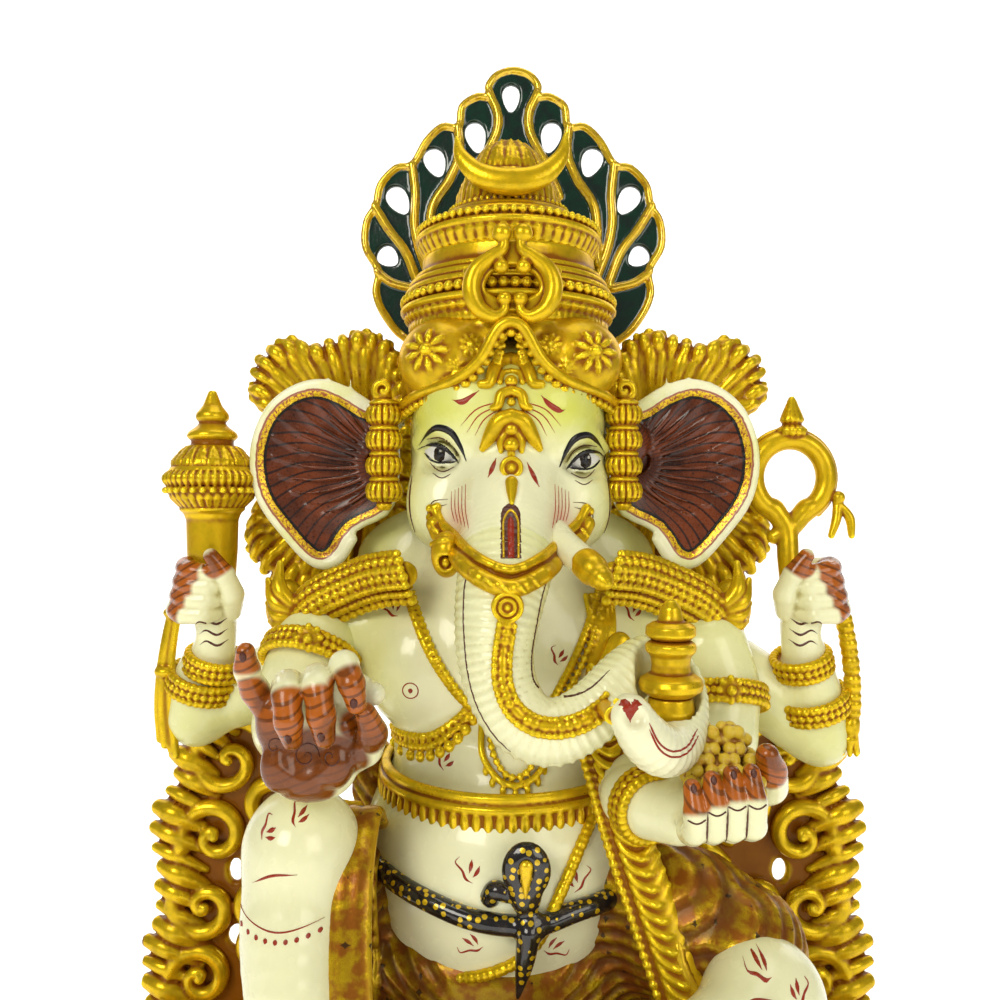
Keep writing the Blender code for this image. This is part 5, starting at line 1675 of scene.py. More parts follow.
class IDOL_OT_base(bpy.types.Operator):
    """Cast the plinth with its lotus petals, the seat cushion and the felt pad"""
    bl_idname = "idol.base"
    bl_label = "Lotus Plinth"

    def execute(self, context):
        self.plinth()
        self.seat()
        self.felt()
        for name in ("arm_pin_left", "arm_pin_right"):
            holder = bpy.data.objects[name]
            for slot in holder.material_slots:
                slot.material = bpy.data.materials["drawn_steel"]
        return {"FINISHED"}

    def rings(self, name, look, steps, sides, middle=0.0, shape=None):
        """Stacked rounded rectangles (half width, half depth, height) skinned as one casting.
        Their middle is at that depth, and `shape` moves their edge out by angle and height."""
        angle = TAU * np.arange(sides) / sides
        reach = corner_reach(angle)
        points = []
        for half_x, half_y, height in steps:
            out = np.zeros(sides) if shape is None else shape(angle, height)
            points.append(np.stack([(half_x + out) * reach * np.cos(angle),
                                    middle + (half_y + out) * reach * np.sin(angle),
                                    np.full(sides, float(height))], axis=1))
        count = len(points)
        points = np.vstack(points)
        faces = []
        for row in range(count - 1):
            for k in range(sides):
                n = (k + 1) % sides
                faces.append((row * sides + k, row * sides + n, (row + 1) * sides + n,
                              (row + 1) * sides + k))
        bottom = len(points)
        top = bottom + 1
        points = np.vstack([points, points[:sides].mean(axis=0), points[-sides:].mean(axis=0)])
        last = (count - 1) * sides
        for k in range(0, sides, 2):
            faces.append((bottom, (k + 2) % sides, k + 1, k))
            faces.append((top, last + k, last + k + 1, last + (k + 2) % sides))
        return mesh_piece(name, points * MM, faces, look)

    def plinth(self):
        def carved(angle, height):
            """Upright leaves in the side of the plinth's foot."""
            if not 5.5 < height < 17:
                return 0 * angle
            return lotus_leaves(angle, height, 46, 5.5, 17, 1.6) - 1.0

        steps = [(161, 103, 2.0), (164, 106, 2.2), (165, 107, 3.2), (165, 107, 4.6), (164.2, 106.2, 5.2)]
        for height in np.linspace(5.6, 16.8, 20):
            steps.append((164.4, 106.4, height))
        steps += [(164.2, 106.2, 17.4), (165, 107, 18.0), (165, 107, 19.6), (163.5, 105.5, 20.8),
                  (160, 102, 21.4), (154, 96, 21.8), (150, 95, 22.0)]
        foot = self.rings("plinth_foot", "cast_gold", steps, 460, shape=carved)
        core = self.rings("lotus_core", "cast_gold", [
            (146, 92, 21.6), (144, 90, 28), (143, 89, 36), (146, 92, 44), (149, 95, 50), (150, 96, 51.4),
            (146, 92, 51.9)], 96)
        low_petals = self.petal_row("lotus_petals_low", 148, 94, 22.0, 39.0, 0.0)
        high_petals = self.petal_row("lotus_petals_high", 151, 96, 35.0, 52.0, 0.5)
        # the foot's leaves: painted highlight where they stand out, wash and painted shade between them
        for casting in (foot, core):
            store(casting, "wash_and_shading", self.leaf_wash_and_shading(casting))
        settle(foot, "gold_paint", "lotus_plinth")
        for casting in (core, low_petals, high_petals):
            settle(casting, "gold_paint")

    def leaf_wash_and_shading(self, piece):
        """Wash and shading that follow how far the side of the foot stands out: painted highlight on the
        leaves, wash and painted shade between them.
        """
        points = np.array([tuple(v.co) for v in piece.data.vertices]) / MM
        reach = (np.abs(points[:, 0] / 165) ** 4 + np.abs(points[:, 1] / 107) ** 4) ** 0.25
        return np.clip((reach - 0.993) * 70, -1, 1) * (points[:, 2] > 5) * (points[:, 2] < 17.6)

    def petal_row(self, name, half_x, half_y, low, high, turn):
        """A row of cupped lotus petals round the seat, `turn` petals round from the next row."""
        count = 34
        points = []
        faces = []
        wash_and_shading = []
        across, up = 12, 10
        for k in range(count):
            middle = TAU * (k + turn) / count
            for row in range(up + 1):
                v = row / up
                for column in range(across + 1):
                    u = column / across * 2 - 1
                    half = math.sqrt(max(1 - v ** 2.4, 0)) * 0.98 + 0.01
                    angle = middle + u * half * (TAU / count / 2) * 1.05
                    reach = float(corner_reach(angle))
                    rim = math.exp(-((abs(u) - 0.8) / 0.14) ** 2) + math.exp(-((v - 0.93) / 0.07) ** 2)
                    out = 3.4 * (1 - u * u) * math.sin(math.pi * min(v * 0.62 + 0.12, 1)) + 2.6 * v ** 3
                    out += 0.55 * rim + 0.7 * math.exp(-(u / 0.09) ** 2) * (1 - v)
                    points.append(((half_x + out - 1) * reach * math.cos(angle),
                                   (half_y + out - 1) * reach * math.sin(angle), low + (high - low) * v))
                    # painted highlight on the rims and midrib, painted shade towards the petal's foot
                    wash_and_shading.append(0.45 * (rim + math.exp(-(u / 0.1) ** 2)) - 0.35 + 0.5 * v - (1 - v) * 0.6)
            base = k * (across + 1) * (up + 1)
            for row in range(up):
                for column in range(across):
                    a = base + row * (across + 1) + column
                    faces.append((a, a + 1, a + across + 2, a + across + 1))
        piece = mesh_piece(name, np.array(points) * MM, faces, "cast_gold")
        store(piece, "wash_and_shading", wash_and_shading)
        thick = piece.modifiers.new("thickness", "SOLIDIFY")
        thick.thickness = 1.1 * MM
        thick.offset = -1
        return piece

    def seat(self):
        def tufts(angle, height):
            """The seat's edge swells between its cords."""
            return 0.5 * np.sin(angle * 40) * (56 < height < 68)

        steps = [(80, 72, 52.4), (83, 75, 53.0), (85.6, 77.6, 54.6)]
        for height in np.linspace(56, 68, 9):
            swell = 0.05 * (height - 62) ** 2 * 0.4
            steps.append((86.5 - swell, 78.5 - swell, height))
        steps += [(84.5, 76.5, 69.6), (82, 74, 70.8), (78, 70, 71.6), (60, 54, 71.9)]
        piece = self.rings("seat_cast", "painted_cloth", steps, 320, middle=4.0, shape=tufts)
        settle(piece, "gold_paint", "seat_cushion")
        cords = Clay((-90, -78, 51), (90, 86, 74), 1.1)
        for z in (54.6, 69.4):
            loop = []
            for k in range(61):
                angle = TAU * k / 60
                reach = float(corner_reach(angle))
                loop.append((84.8 * reach * math.cos(angle), 4 + 76.8 * reach * math.sin(angle), z, 1.6))
            cords.tube(loop, blend=0.5, smooth=False,
                       ripple=lambda s: (0.3 * np.sin(s * TAU / 3.0)).astype(np.float32))
        settle(cords.skin("seat_cords", "cast_gold", wash_and_shading=1.6), "gold_paint")

    def felt(self):
        steps = [(157, 99, 0.0), (158, 100, 0.3), (158, 100, 1.4), (157, 99, 1.7)]
        piece = self.rings("felt_sheet", "green_felt", steps, 120)
        settle(piece, "felt", "felt_pad")


# ----------------------------------------------------------------- ornaments
def shifted(points, dx=0.0, dy=0.0, dz=0.0, radius=None):
    """Points moved, with a new radius."""
    return [(p[0] + dx, p[1] + dy, p[2] + dz) + ((radius,) if radius else tuple(p[3:4])) for p in points]


def cord(clay, points, radius, pitch=2.4, depth=0.28, blend=0.4):
    """A twisted cord through points (x, y, z)."""
    clay.tube([(*p[:3], radius) for p in points], blend=blend, ripple=twist(pitch, depth), spacing=1.4)


class IDOL_OT_face_gold(bpy.types.Operator):
    """Cast the gold of the face: pendant, swags, nose band, trunk strap and earrings"""
    bl_idname = "idol.face_gold"
    bl_label = "Face Ornaments"

    def execute(self, context):
        head = forms["head"]
        self.pendant(head)
        self.swags(head)
        self.nose_band(head)
        self.strap(head)
        for side, label in SIDES:
            self.earring(side, label)
        return {"FINISHED"}

    def pendant(self, head):
        clay = Clay((-14, -52, 264), (16, -16, 326), 0.45)
        put = lambda points: clay.tube(head.laid(points, 0.4), blend=0.3)
        middle = 0.6
        for side in (-1, 1):
            put([(middle, 320.5, 2.4), (middle + side * 4.2, 319.0, 2.5), (middle + side * 6.4, 314.5, 2.4),
                 (middle + side * 7.6, 310.8, 1.9), (middle + side * 10.4, 310.4, 1.6)])
            put([(middle, 315.6, 1.0), (middle + side * 3.0, 314.6, 1.1),
                 (middle + side * 3.9, 311.2, 1.1)])
            put([(middle, 308.0, 1.9), (middle + side * 3.4, 306.6, 2.0), (middle + side * 4.6, 302.8, 1.8),
                 (middle + side * 6.4, 302.0, 1.2)])
            put([(middle, 299.0, 2.8), (middle + side * 4.2, 297.2, 3.0), (middle + side * 7.0, 292.6, 2.7),
                 (middle + side * 10.0, 288.0, 1.3)])
            put([(middle + side * 1.2, 294.5, 1.9), (middle + side * 3.2, 290.6, 1.9),
                 (middle + side * 3.6, 287.0, 1.0)])
        for x, z, radius in ((0, 311.4, 2.3), (0, 304.0, 1.6), (0, 294.6, 2.6), (0, 289.2, 2.7),
                             (0, 286.0, 1.5)):
            y = head.front(middle + x, z)
            clay.ball((middle + x, y - 0.5 * radius, z), radius, blend=0.3)
        y = head.front(middle, 281)
        clay.ball((middle, y - 0.2, 281.0), (4.2, 1.9, 4.2), blend=0.3)
        clay.tube([(p[0], y - 1.5, p[2], 0.75) for p in hoop((middle, y, 281.0), 3.2, (90, 0, 0))],
                  blend=0.25, smooth=False)
        clay.ball((middle, y - 1.9, 281.0), 1.35, blend=0.3)
        put([(middle, 276.0, 2.2), (middle, 272.6, 1.7), (middle, 269.0, 0.8)])
        gild(clay, "pendant_cast", 1.0, "forehead_pendant")

    def swags(self, head):
        path = [(-42.5, 3, 304.5), (-38, -8.5, 306.5), (-31.5, -18, 309), (-19, -28.5, 312.2),
                (-10.5, -32.2, 318.4), (-3.2, -34.0, 330)]
        path += [(1 - x, y, z) for x, y, z in path[::-1]]
        clay = Clay.about(path, 9, 0.5)
        clay.tube([(*p, 2.0) for p in path], blend=0.4, spacing=1.5)
        inner = smooth_route(shifted(path, 0, 1.4, -3.6), 3.5)
        for station in inner:
            clay.ball(station, (1.75, 1.75, 1.5), blend=0.25)
        for side in (-1, 1):
            for x0, z0, x1, z1, count in ((3.4, 326, 7.6, 312.6, 9), (2.2, 327, 4.2, 318.2, 5)):
                for k in range(count):
                    t = k / (count - 1)
                    x = 0.5 + side * (x0 + (x1 - x0) * t)
                    z = z0 + (z1 - z0) * t - 0.8 * math.sin(math.pi * t)
                    y = head.front(x, z) or -29
                    clay.ball((x, min(y, -27) - 0.8, z), 1.15, blend=0.2)
        gild(clay, "swag_cast", 1.2, "brow_swags")

    def nose_band(self, head):
        low = [(-26.5, 263.5), (-24, 258.5), (-19, 254.5), (-11, 248.5), (0, 244.6), (11, 248.5),
               (19, 254.5), (24.5, 258.8), (27.5, 263.5)]
        clay = Clay((-33, -78, 236), (34, -12, 274), 0.5)
        for shift, radius in ((3.6, 1.7), (-2.0, 3.0)):
            route = smooth_route([(x, 0, z + shift) for x, z in low], 1.6)
            spots = head.trail(route, radius, 0.45)
            clay.tube(spots, blend=0.4, spacing=1.5)
            if shift < 0:
                for spot in spots[2:-2:3]:
                    clay.tube([(spot[0] - 1.6, spot[1] - 2.3, spot[2] + 1.6, 0.6),
                               (spot[0] + 0.2, spot[1] - 3.2, spot[2] + 0.3, 0.8),
                               (spot[0] + 1.8, spot[1] - 2.5, spot[2] - 1.4, 0.6)], blend=0.3)
        spots = head.laid([(x, z + 1.1, 1.2) for x, z in low], -0.3)
        clay.tube(spots, blend=0.4)
        for x, z in ((-28.2, 267.0), (-25.6, 267.6), (-28.2, 263.8), (28.8, 266.0)):
            y = head.front(x, z)
            if y is not None:
                clay.ball((x, y - 0.8, z), 1.6, blend=0.25)
        gild(clay, "nose_band_cast", 1.1, "trunk_band")

    def strap(self, head):
        line = [(-1.2, 231.5), (-2.6, 222), (-2.4, 214), (0.5, 207), (6, 202.5), (13, 201), (21, 202.5),
                (28, 206.5), (32, 210)]
        clay = Clay((-12, -84, 192), (40, -52, 246), 0.45)
        y = head.front(-1, 237)
        clay.ball((-1, y, 237), (5.2, 2.2, 5.2), blend=0.3)
        clay.tube([(p[0], y - 1.7, p[2], 0.8) for p in hoop((-1, y, 237), 4.2, (90, 0, 0))], blend=0.25,
                  smooth=False)
        clay.tube([(p[0], y - 2.0, p[2], 0.55) for p in hoop((-1, y, 237), 2.4, (90, 0, 0))], blend=0.2,
                  smooth=False)
        clay.ball((-1, y - 2.3, 237), 1.0, blend=0.2)
        route = flat_route(line, 1.2)
        ahead = np.gradient(route[:, [0, 2]], axis=0)
        ahead /= np.linalg.norm(ahead, axis=1)[:, None]
        clay.tube(head.trail(route, 2.6, -0.55), blend=0.3, smooth=False)
        for offset in (-2.3, 2.3):
            track = np.stack([route[:, 0] - ahead[:, 1] * offset, 0 * route[:, 0],
                              route[:, 2] + ahead[:, 0] * offset], axis=1)
            for spot in head.laid([(p[0], p[2], 1.15) for p in smooth_route(track, 1.75)], 0.35):
                clay.ball(spot[:3], (1.15, 1.1, 1.15), blend=0.25)
        for k in range(3):
            spots = head.laid([(31 + 1.2 * k, 207.4 + 1.6 * k, 1.5), (35 + 0.6 * k, 205 + 2.2 * k, 1.2)],
                              0.2)
            clay.tube(spots, blend=0.4, smooth=False)
        gild(clay, "strap_cast", 1.0, "trunk_strap")

    def earring(self, side, label):
        x = side * 45.2 - 1.8
        clay = Clay((x - 10, -15, 264), (x + 10, 7, 316), 0.5)
        axis = (x, -4, 0)
        clay.turned(axis, [(2.0, 266), (3.2, 268), (2.2, 270)], blend=0.4)
        for k in range(4):
            foot = 269.5 + 9.6 * k
            clay.turned(axis, [(4.4, foot), (6.4, foot + 1.5), (6.9, foot + 4), (6.2, foot + 6.4),
                               (4.6, foot + 7.4)], blend=0.4, relief=lambda a, z, r: flutes(a, 16, 0.9))
            clay.turned(axis, [(4.8, foot + 7.2), (6.0, foot + 8.2), (4.8, foot + 9.4)], blend=0.3)
        clay.tube(spiral((x, 311.5), -math.pi / 2, side * 1.1, 3.8, 0.8, 1.6, -6.5, -1.2), blend=0.5)
        clay.tube([(x, -5, 309, 3.0), (x, -3, 314, 2.2)], blend=0.6, smooth=False)
        gild(clay, "earring_cast_" + label, 1.1, "earring_" + label)


class IDOL_OT_body_gold(bpy.types.Operator):
    """Cast the collars, chains, waistband, serpent belt, thread and sash"""
    bl_idname = "idol.body_gold"
    bl_label = "Body Ornaments"

    def execute(self, context):
        torso = forms["torso"]
        for side, label in SIDES:
            self.collar(side, label)
        self.chains(torso)
        self.waistband(torso)
        self.serpent(torso)
        self.thread(torso)
        self.sash(torso)
        return {"FINISHED"}

    def collar(self, side, label):
        path = [(side * 38, -19, 243), (side * 48, -13, 241.5), (side * 58, -7, 238), (side * 74, -2, 230),
                (side * 85, 3, 219)]
        clay = Clay.about(path + [(side * 96, 14, 240)], 15, 0.68)
        clay.tube([(*p, r) for p, r in zip(path, (5.0, 6.0, 7.0, 7.4, 5.8))], blend=1, flat=(1, 0.6, 1))
        for row, (dz, dy) in enumerate(((7.6, -0.5), (5.2, -3.0), (2.4, -4.4), (-0.4, -4.8), (-3.4, -4.2),
                                        (-6.6, -1.8), (-9.4, 0.4))):
            track = shifted(path, side * 0.3 * dz, dy, dz)
            if row in (1, 3, 6):
                for station in smooth_route(track, 3.4):
                    clay.ball(station, (2.0, 1.7, 1.9), blend=0.3)
            else:
                cord(clay, track, 1.5, 2.2)
        clay.ball((side * 87, 9, 228), (8, 8.0, 11), blend=2)
        for k, (reach, angle) in enumerate(((17, 62), (16, 38), (13, 12), (12, -14), (12, -40))):
            angle = math.radians(angle)
            tip = (side * (80 + reach * math.cos(angle)), 2.5, 227 + reach * 1.25 * math.sin(angle))
            clay.tube([(side * 77, -1.0, 225, 2.8), (side * (80 + reach * 0.55 * math.cos(angle - 0.3)),
                                                     -1.8,
                       227 + reach * 0.7 * math.sin(angle - 0.3), 3.0), (*tip, 1.2)], blend=0.5)
        gild(clay, "collar_cast_" + label, 1.3, "shoulder_collar_" + label)

    def chains(self, torso):
        clay = Clay((-66, -46, 164), (50, 6, 246), 0.6)
        necklace = [(-41, 240), (-36, 228), (-28, 212), (-18, 198), (-9, 192), (1, 189), (12, 193),
                    (20, 205), (28, 221), (36, 240)]
        route = flat_route(necklace, 1.0)
        spots = torso.trail(route, 1.4, 0.3)
        clay.tube(spots, blend=0.3, ripple=twist(2.0, 0.25), smooth=False)
        for station in smooth_route(shifted(spots, 2.8, -0.8, -1.4), 2.9):
            clay.ball(station[:3], 1.5, blend=0.3)
        band = [(-56, 184.5), (-48, 181.5), (-38, 180.5), (-28, 182.5), (-19, 188.5), (-13, 195)]
        route = flat_route(band, 1.2)
        for shift in (1.8, -1.8):
            clay.tube(torso.laid([(p[0], p[2] + shift, 1.3) for p in route], 0.4), blend=0.3,
                      ripple=twist(2.2, 0.25), smooth=False)
        for station in smooth_route(torso.trail(route, 1.4, 0.2), 3.1):
            clay.ball(station[:3], 1.4, blend=0.3)
        for p in flat_route(band, 3.9):
            spot = torso.laid([(p[0], p[2] - 5.0, 2.0)], 0.2)
            if spot:
                clay.ball(spot[0][:3], (2.0, 1.6, 2.3), blend=0.25)
        loop = [(-10, 189), (-9.5, 180), (-4, 172.5), (2.5, 170.5), (9, 173), (13.5, 180), (13.5, 190)]
        route = flat_route(loop, 1.2)
        clay.tube(torso.trail(route, 1.2, 1.6), blend=0.4, smooth=False)
        for station in smooth_route(torso.laid([(p[0] * 0.72 + 0.5, p[2] + 2.4, 1.3) for p in route], 1.2),
                                    2.7):
            clay.ball(station[:3], 1.35, blend=0.3)
        for k in range(7):
            angle = math.radians(-160 + 23.3 * k)
            spot = torso.laid([(2 + 11 * math.cos(angle), 180 + 10.5 * math.sin(angle) - 1.6, 1.5)], 0.9)
            clay.ball(spot[0][:3], (1.2, 1.2, 1.9), blend=0.3)
        for shift in range(6):
            fold_line = [(29 + 2.0 * shift, 234), (30.5 + 1.6 * shift, 222), (29 + 1.4 * shift, 208),
                         (27 + 1.2 * shift, 199)]
            clay.tube(torso.laid([(x, z, 1.15) for x, z in fold_line], 0.3), blend=0.6)
        gild(clay, "chain_cast", 1.2, "chest_chains")

    def waistband(self, torso):
        clay = Clay((-60, -46, 150), (58, 74, 174), 0.75)
        ring = lambda z, grow: hoop((-1, 14, z), (47.0 + grow, 48.2 + grow), (2, 0, 0), 110)
        for z in (168.6, 165.0):
            clay.tube([(*p, 1.9) for p in ring(z, 0.3 + 0.30 * (168.6 - z))], blend=0.4, smooth=False)
        for spot in hoop((-1, 14, 160.4), (48.6, 49.8), (2, 0, 0), 74):
            clay.ball(spot, (2.0, 2.0, 4.8), blend=0.35)
        for z, grow in ((162, 0.2), (159.5, 0.6)):
            clay.tube([(*p, 1.7) for p in ring(z, grow)], blend=0.8, smooth=False)
        gild(clay, "waistband_cast", 1.2, "waistband")

    def serpent(self, torso):
        clay = Clay((-58, -58, 102), (58, 4, 164), 0.7)
        body = [(-52.5, 138), (-46, 137.6), (-38, 135.6), (-28, 133.4), (-16, 130.5), (-6, 128.8), (4, 128),
                (12, 128.4), (22, 130.8), (32, 131.6), (44, 131.8), (52.5, 132.4)]
        clay.tube(torso.laid([(x, z, 3.6) for x, z in body], 0.5), blend=0.6, spacing=1.6)
        clay.ball((5.4, -46.5, 147.5), (8.2, 3.4, 9.6), blend=0.6)
        clay.ball((5.2, -45.5, 139), (5.4, 3.4, 7.0), blend=2.0)
        clay.ball((5.4, -50.0, 146), (3.4, 1.6, 6.5), blend=0.8, cut=True)
        clay.tube([(-6.5, -41, 136.5, 3.6), (-4.8, -43, 139.5, 3.4), (-0.8, -44, 138.5, 2.8)], blend=0.8)
        clay.ball((7, -45.2, 128.4), (6.0, 3.6, 5.4), blend=1.5)
        clay.tube([(6.2, -46.5, 127, 4.2), (5, -46.5, 118, 3.3), (3.6, -45.5, 110, 2.0),
                   (2.6, -44.6, 104.5, 0.8)],
                  blend=1.2)
        settle(clay.skin("serpent_cast", "serpent_enamel", wash_and_shading=1.6), "black_enamel", "serpent_belt")
        clay = Clay((0, -54, 136), (12, -42, 156), 0.4)
        clay.tube([(5.3, -49.6, 149.8, 2.3), (5.2, -49.6, 145, 1.6), (5.1, -49.2, 139.5, 0.5)],
                  flat=(1, 0.6, 1))
        settle(clay.skin("serpent_tongue", "gold_line", wash_and_shading=1.0), "gold_paint")

    def thread(self, torso):
        clay = Clay((-42, -54, 96), (36, -10, 164), 0.6)
        path = [(29, 158), (24, 150), (19.5, 142), (15.5, 134), (11, 124), (6, 117), (0, 112.5),
                (-8, 108.5), (-16, 105.5), (-25, 103), (-34, 101.5)]
        route = torso.laid([(x, z, 1.9) for x, z in path], 0.55)
        clay.tube(route, blend=0.3, ripple=twist(2.4, 0.3), spacing=1.0)
        gild(clay, "thread_cast", 1.1, "sacred_thread")

    def sash(self, torso):
        path = [(40, -18, 218), (33, -25, 203), (34, -31, 186), (38, -35, 170), (43, -39, 152),
                (51, -46, 128), (59, -54, 104), (64, -63, 86)]
        clay = Clay.about(path, 13, 0.65)
        clay.tube([(*p, r) for p, r in zip(path, (4.4, 4.6, 5.6, 6.2, 6.6, 7.0, 7.0, 5.6))],
                  flat=(1, 0.55, 1))
        route = smooth_route(path, 1.0)
        for offset in (-9.4, -6.6):
            for station in smooth_route(shifted(path[1:], offset, 1.0, -0.2), 3.0):
                clay.ball(station[:3], 1.75, blend=0.3)
        clay.tube([(*p[:3], 2.2) for p in shifted(path[1:], -8.0, 2.4, -0.2)], blend=0.6)
        for k in range(10, len(route) - 4, 5):
            x, y, z = route[k]
            for wide, drop, radius in ((6.4, 3.8, 1.7), (3.6, 0.6, 1.2)):
                arc = [(x + wide * t, y - 1.6 - 2.6 * (1 - t * t), z + 1.4 - drop * (1 - t * t) * 1.3,
                        radius * (0.5 + 0.5 * (1 - t * t))) for t in (-1, -0.6, 0, 0.6, 1)]
                clay.tube(arc, blend=0.4)
        gild(clay, "sash_cast", 1.3, "sash_garland")


class IDOL_OT_bangles(bpy.types.Operator):
    """Cast the armlets, bangles, anklets and the scarves at the raised wrists"""
    bl_idname = "idol.bangles"
    bl_label = "Bangles"

    def execute(self, context):
        for side, label, elbow in ((-1, "right", 184.0), (1, "left", 176.0)):
            tip = (12, side * -16, 0)
            self.bangle("bangle_wrist_back_" + label, (side * 115.6, 10.5, 206), (9.8, 10.0), tip)
            self.bangle("bangle_elbow_back_" + label, (side * 120.5, 13.5, elbow + 14), (12.6, 12.6), tip)
            self.scarf(side, label)
        self.bangle("armlet_front_right", (-75, -3.5, 209.5), (17.0, 17.4), (-36, 14, 0), boss=True)
        self.bangle("armlet_front_left", (79.5, -3, 195), (16.3, 16.6), (-22, 2, 0), boss=True)
        self.bangle("bangle_front_right", (-67.5, -45, 189.5), (11.4, 11.4), (78, 0, 20))
        self.bangle("bangle_front_left", (45, -46, 169), (10.4, 10.4), (96, 0, 24))
        self.bangle("anklet_right", (-64.5, -68.5, 93), (13.0, 13.0), (12, 8, 0))
        self.bangle("anklet_left", (27, -81.5, 92.5), (12.8, 12.8), (0, 68, 6))
        return {"FINISHED"}

    def bangle(self, node, centre, size, tip, boss=False):
        """A row of beads between two twisted cords, on a plain band."""
        clay = Clay.about([np.array(centre) - max(size), np.array(centre) + max(size)], 5, 0.55)
        for lift in (-2.9, 0.0, 2.9):
            if lift == 0.0:
                for p in smooth_route(hoop(centre, (size[0] + 1.2, size[1] + 1.2), tip, 40, lift), 2.8):
                    clay.ball(p, 1.55, blend=0.3)
            else:
                ring = hoop(centre, (size[0] + 0.7, size[1] + 0.7), tip, 60, lift)
                clay.tube([(*p, 1.55) for p in ring], blend=0.4, smooth=False, ripple=twist(2.3, 0.3))
        clay.tube([(*p, 2.4) for p in hoop(centre, (size[0] - 1, size[1] - 1), tip, 40)], blend=0.5,
                  smooth=False)
        if boss:
            front = np.array(centre) + turning(tip).astype(float) @ np.array((0, -size[1] - 1.6, 0))
            clay.ball(front, (4.4, 2.2, 4.4), blend=0.5)
            for k in range(8):
                angle = TAU * k / 8
                clay.ball(front + np.array((4.2 * math.cos(angle), -0.6, 4.2 * math.sin(angle))), 1.3,
                          blend=0.3)
            clay.ball(front + np.array((0, -2.0, 0)), 1.8, blend=0.3)
        gild(clay, node + "_cast", 1.2, node)

    def scarf(self, side, label):
        path = [(side * 127, 9, 241), (side * 131, 8.5, 225), (side * 134, 8.5, 207), (side * 135, 9, 190),
                (side * 133.5, 9, 176)]
        clay = Clay.about(path, 9, 0.6)
        if side > 0:
            cord(clay, path, 2.9, 3.4, 0.5)
            clay.tube([(side * 134, 9, 182, 3.6), (side * 134, 9, 180.5, 3.6)], blend=0.4, smooth=False)
            for k in range(7):
                angle = TAU * k / 7
                clay.tube([(side * 134 + 1.8 * math.cos(angle), 9 + 1.8 * math.sin(angle), 180, 1.2),
                           (side * 133.6 + 3.4 * math.cos(angle), 9 + 2.6 * math.sin(angle), 170.8, 1.0)],
                          blend=0.5, smooth=False)
        else:
            for k in range(4):
                drift = -3.3 + 2.2 * k
                clay.tube([(p[0] + drift * (0.3 + 0.7 * n / 4), p[1] - 0.4 * (k % 2),
                            p[2] - (2 * k if n == 4 else 0), 1.25 + 0.25 * (k % 2)) for n,
                           p in enumerate(path)], blend=0.8)
            for z in (226, 203):
                x = np.interp(z, (176, 190, 207, 225, 241), (-133.5, -135, -134, -131, -127))
                clay.ball((x, 8, z), (4.2, 3.2, 2.4), blend=1.0)
        gild(clay, "scarf_cast_" + label, 1.3, "arm_scarf_" + label)


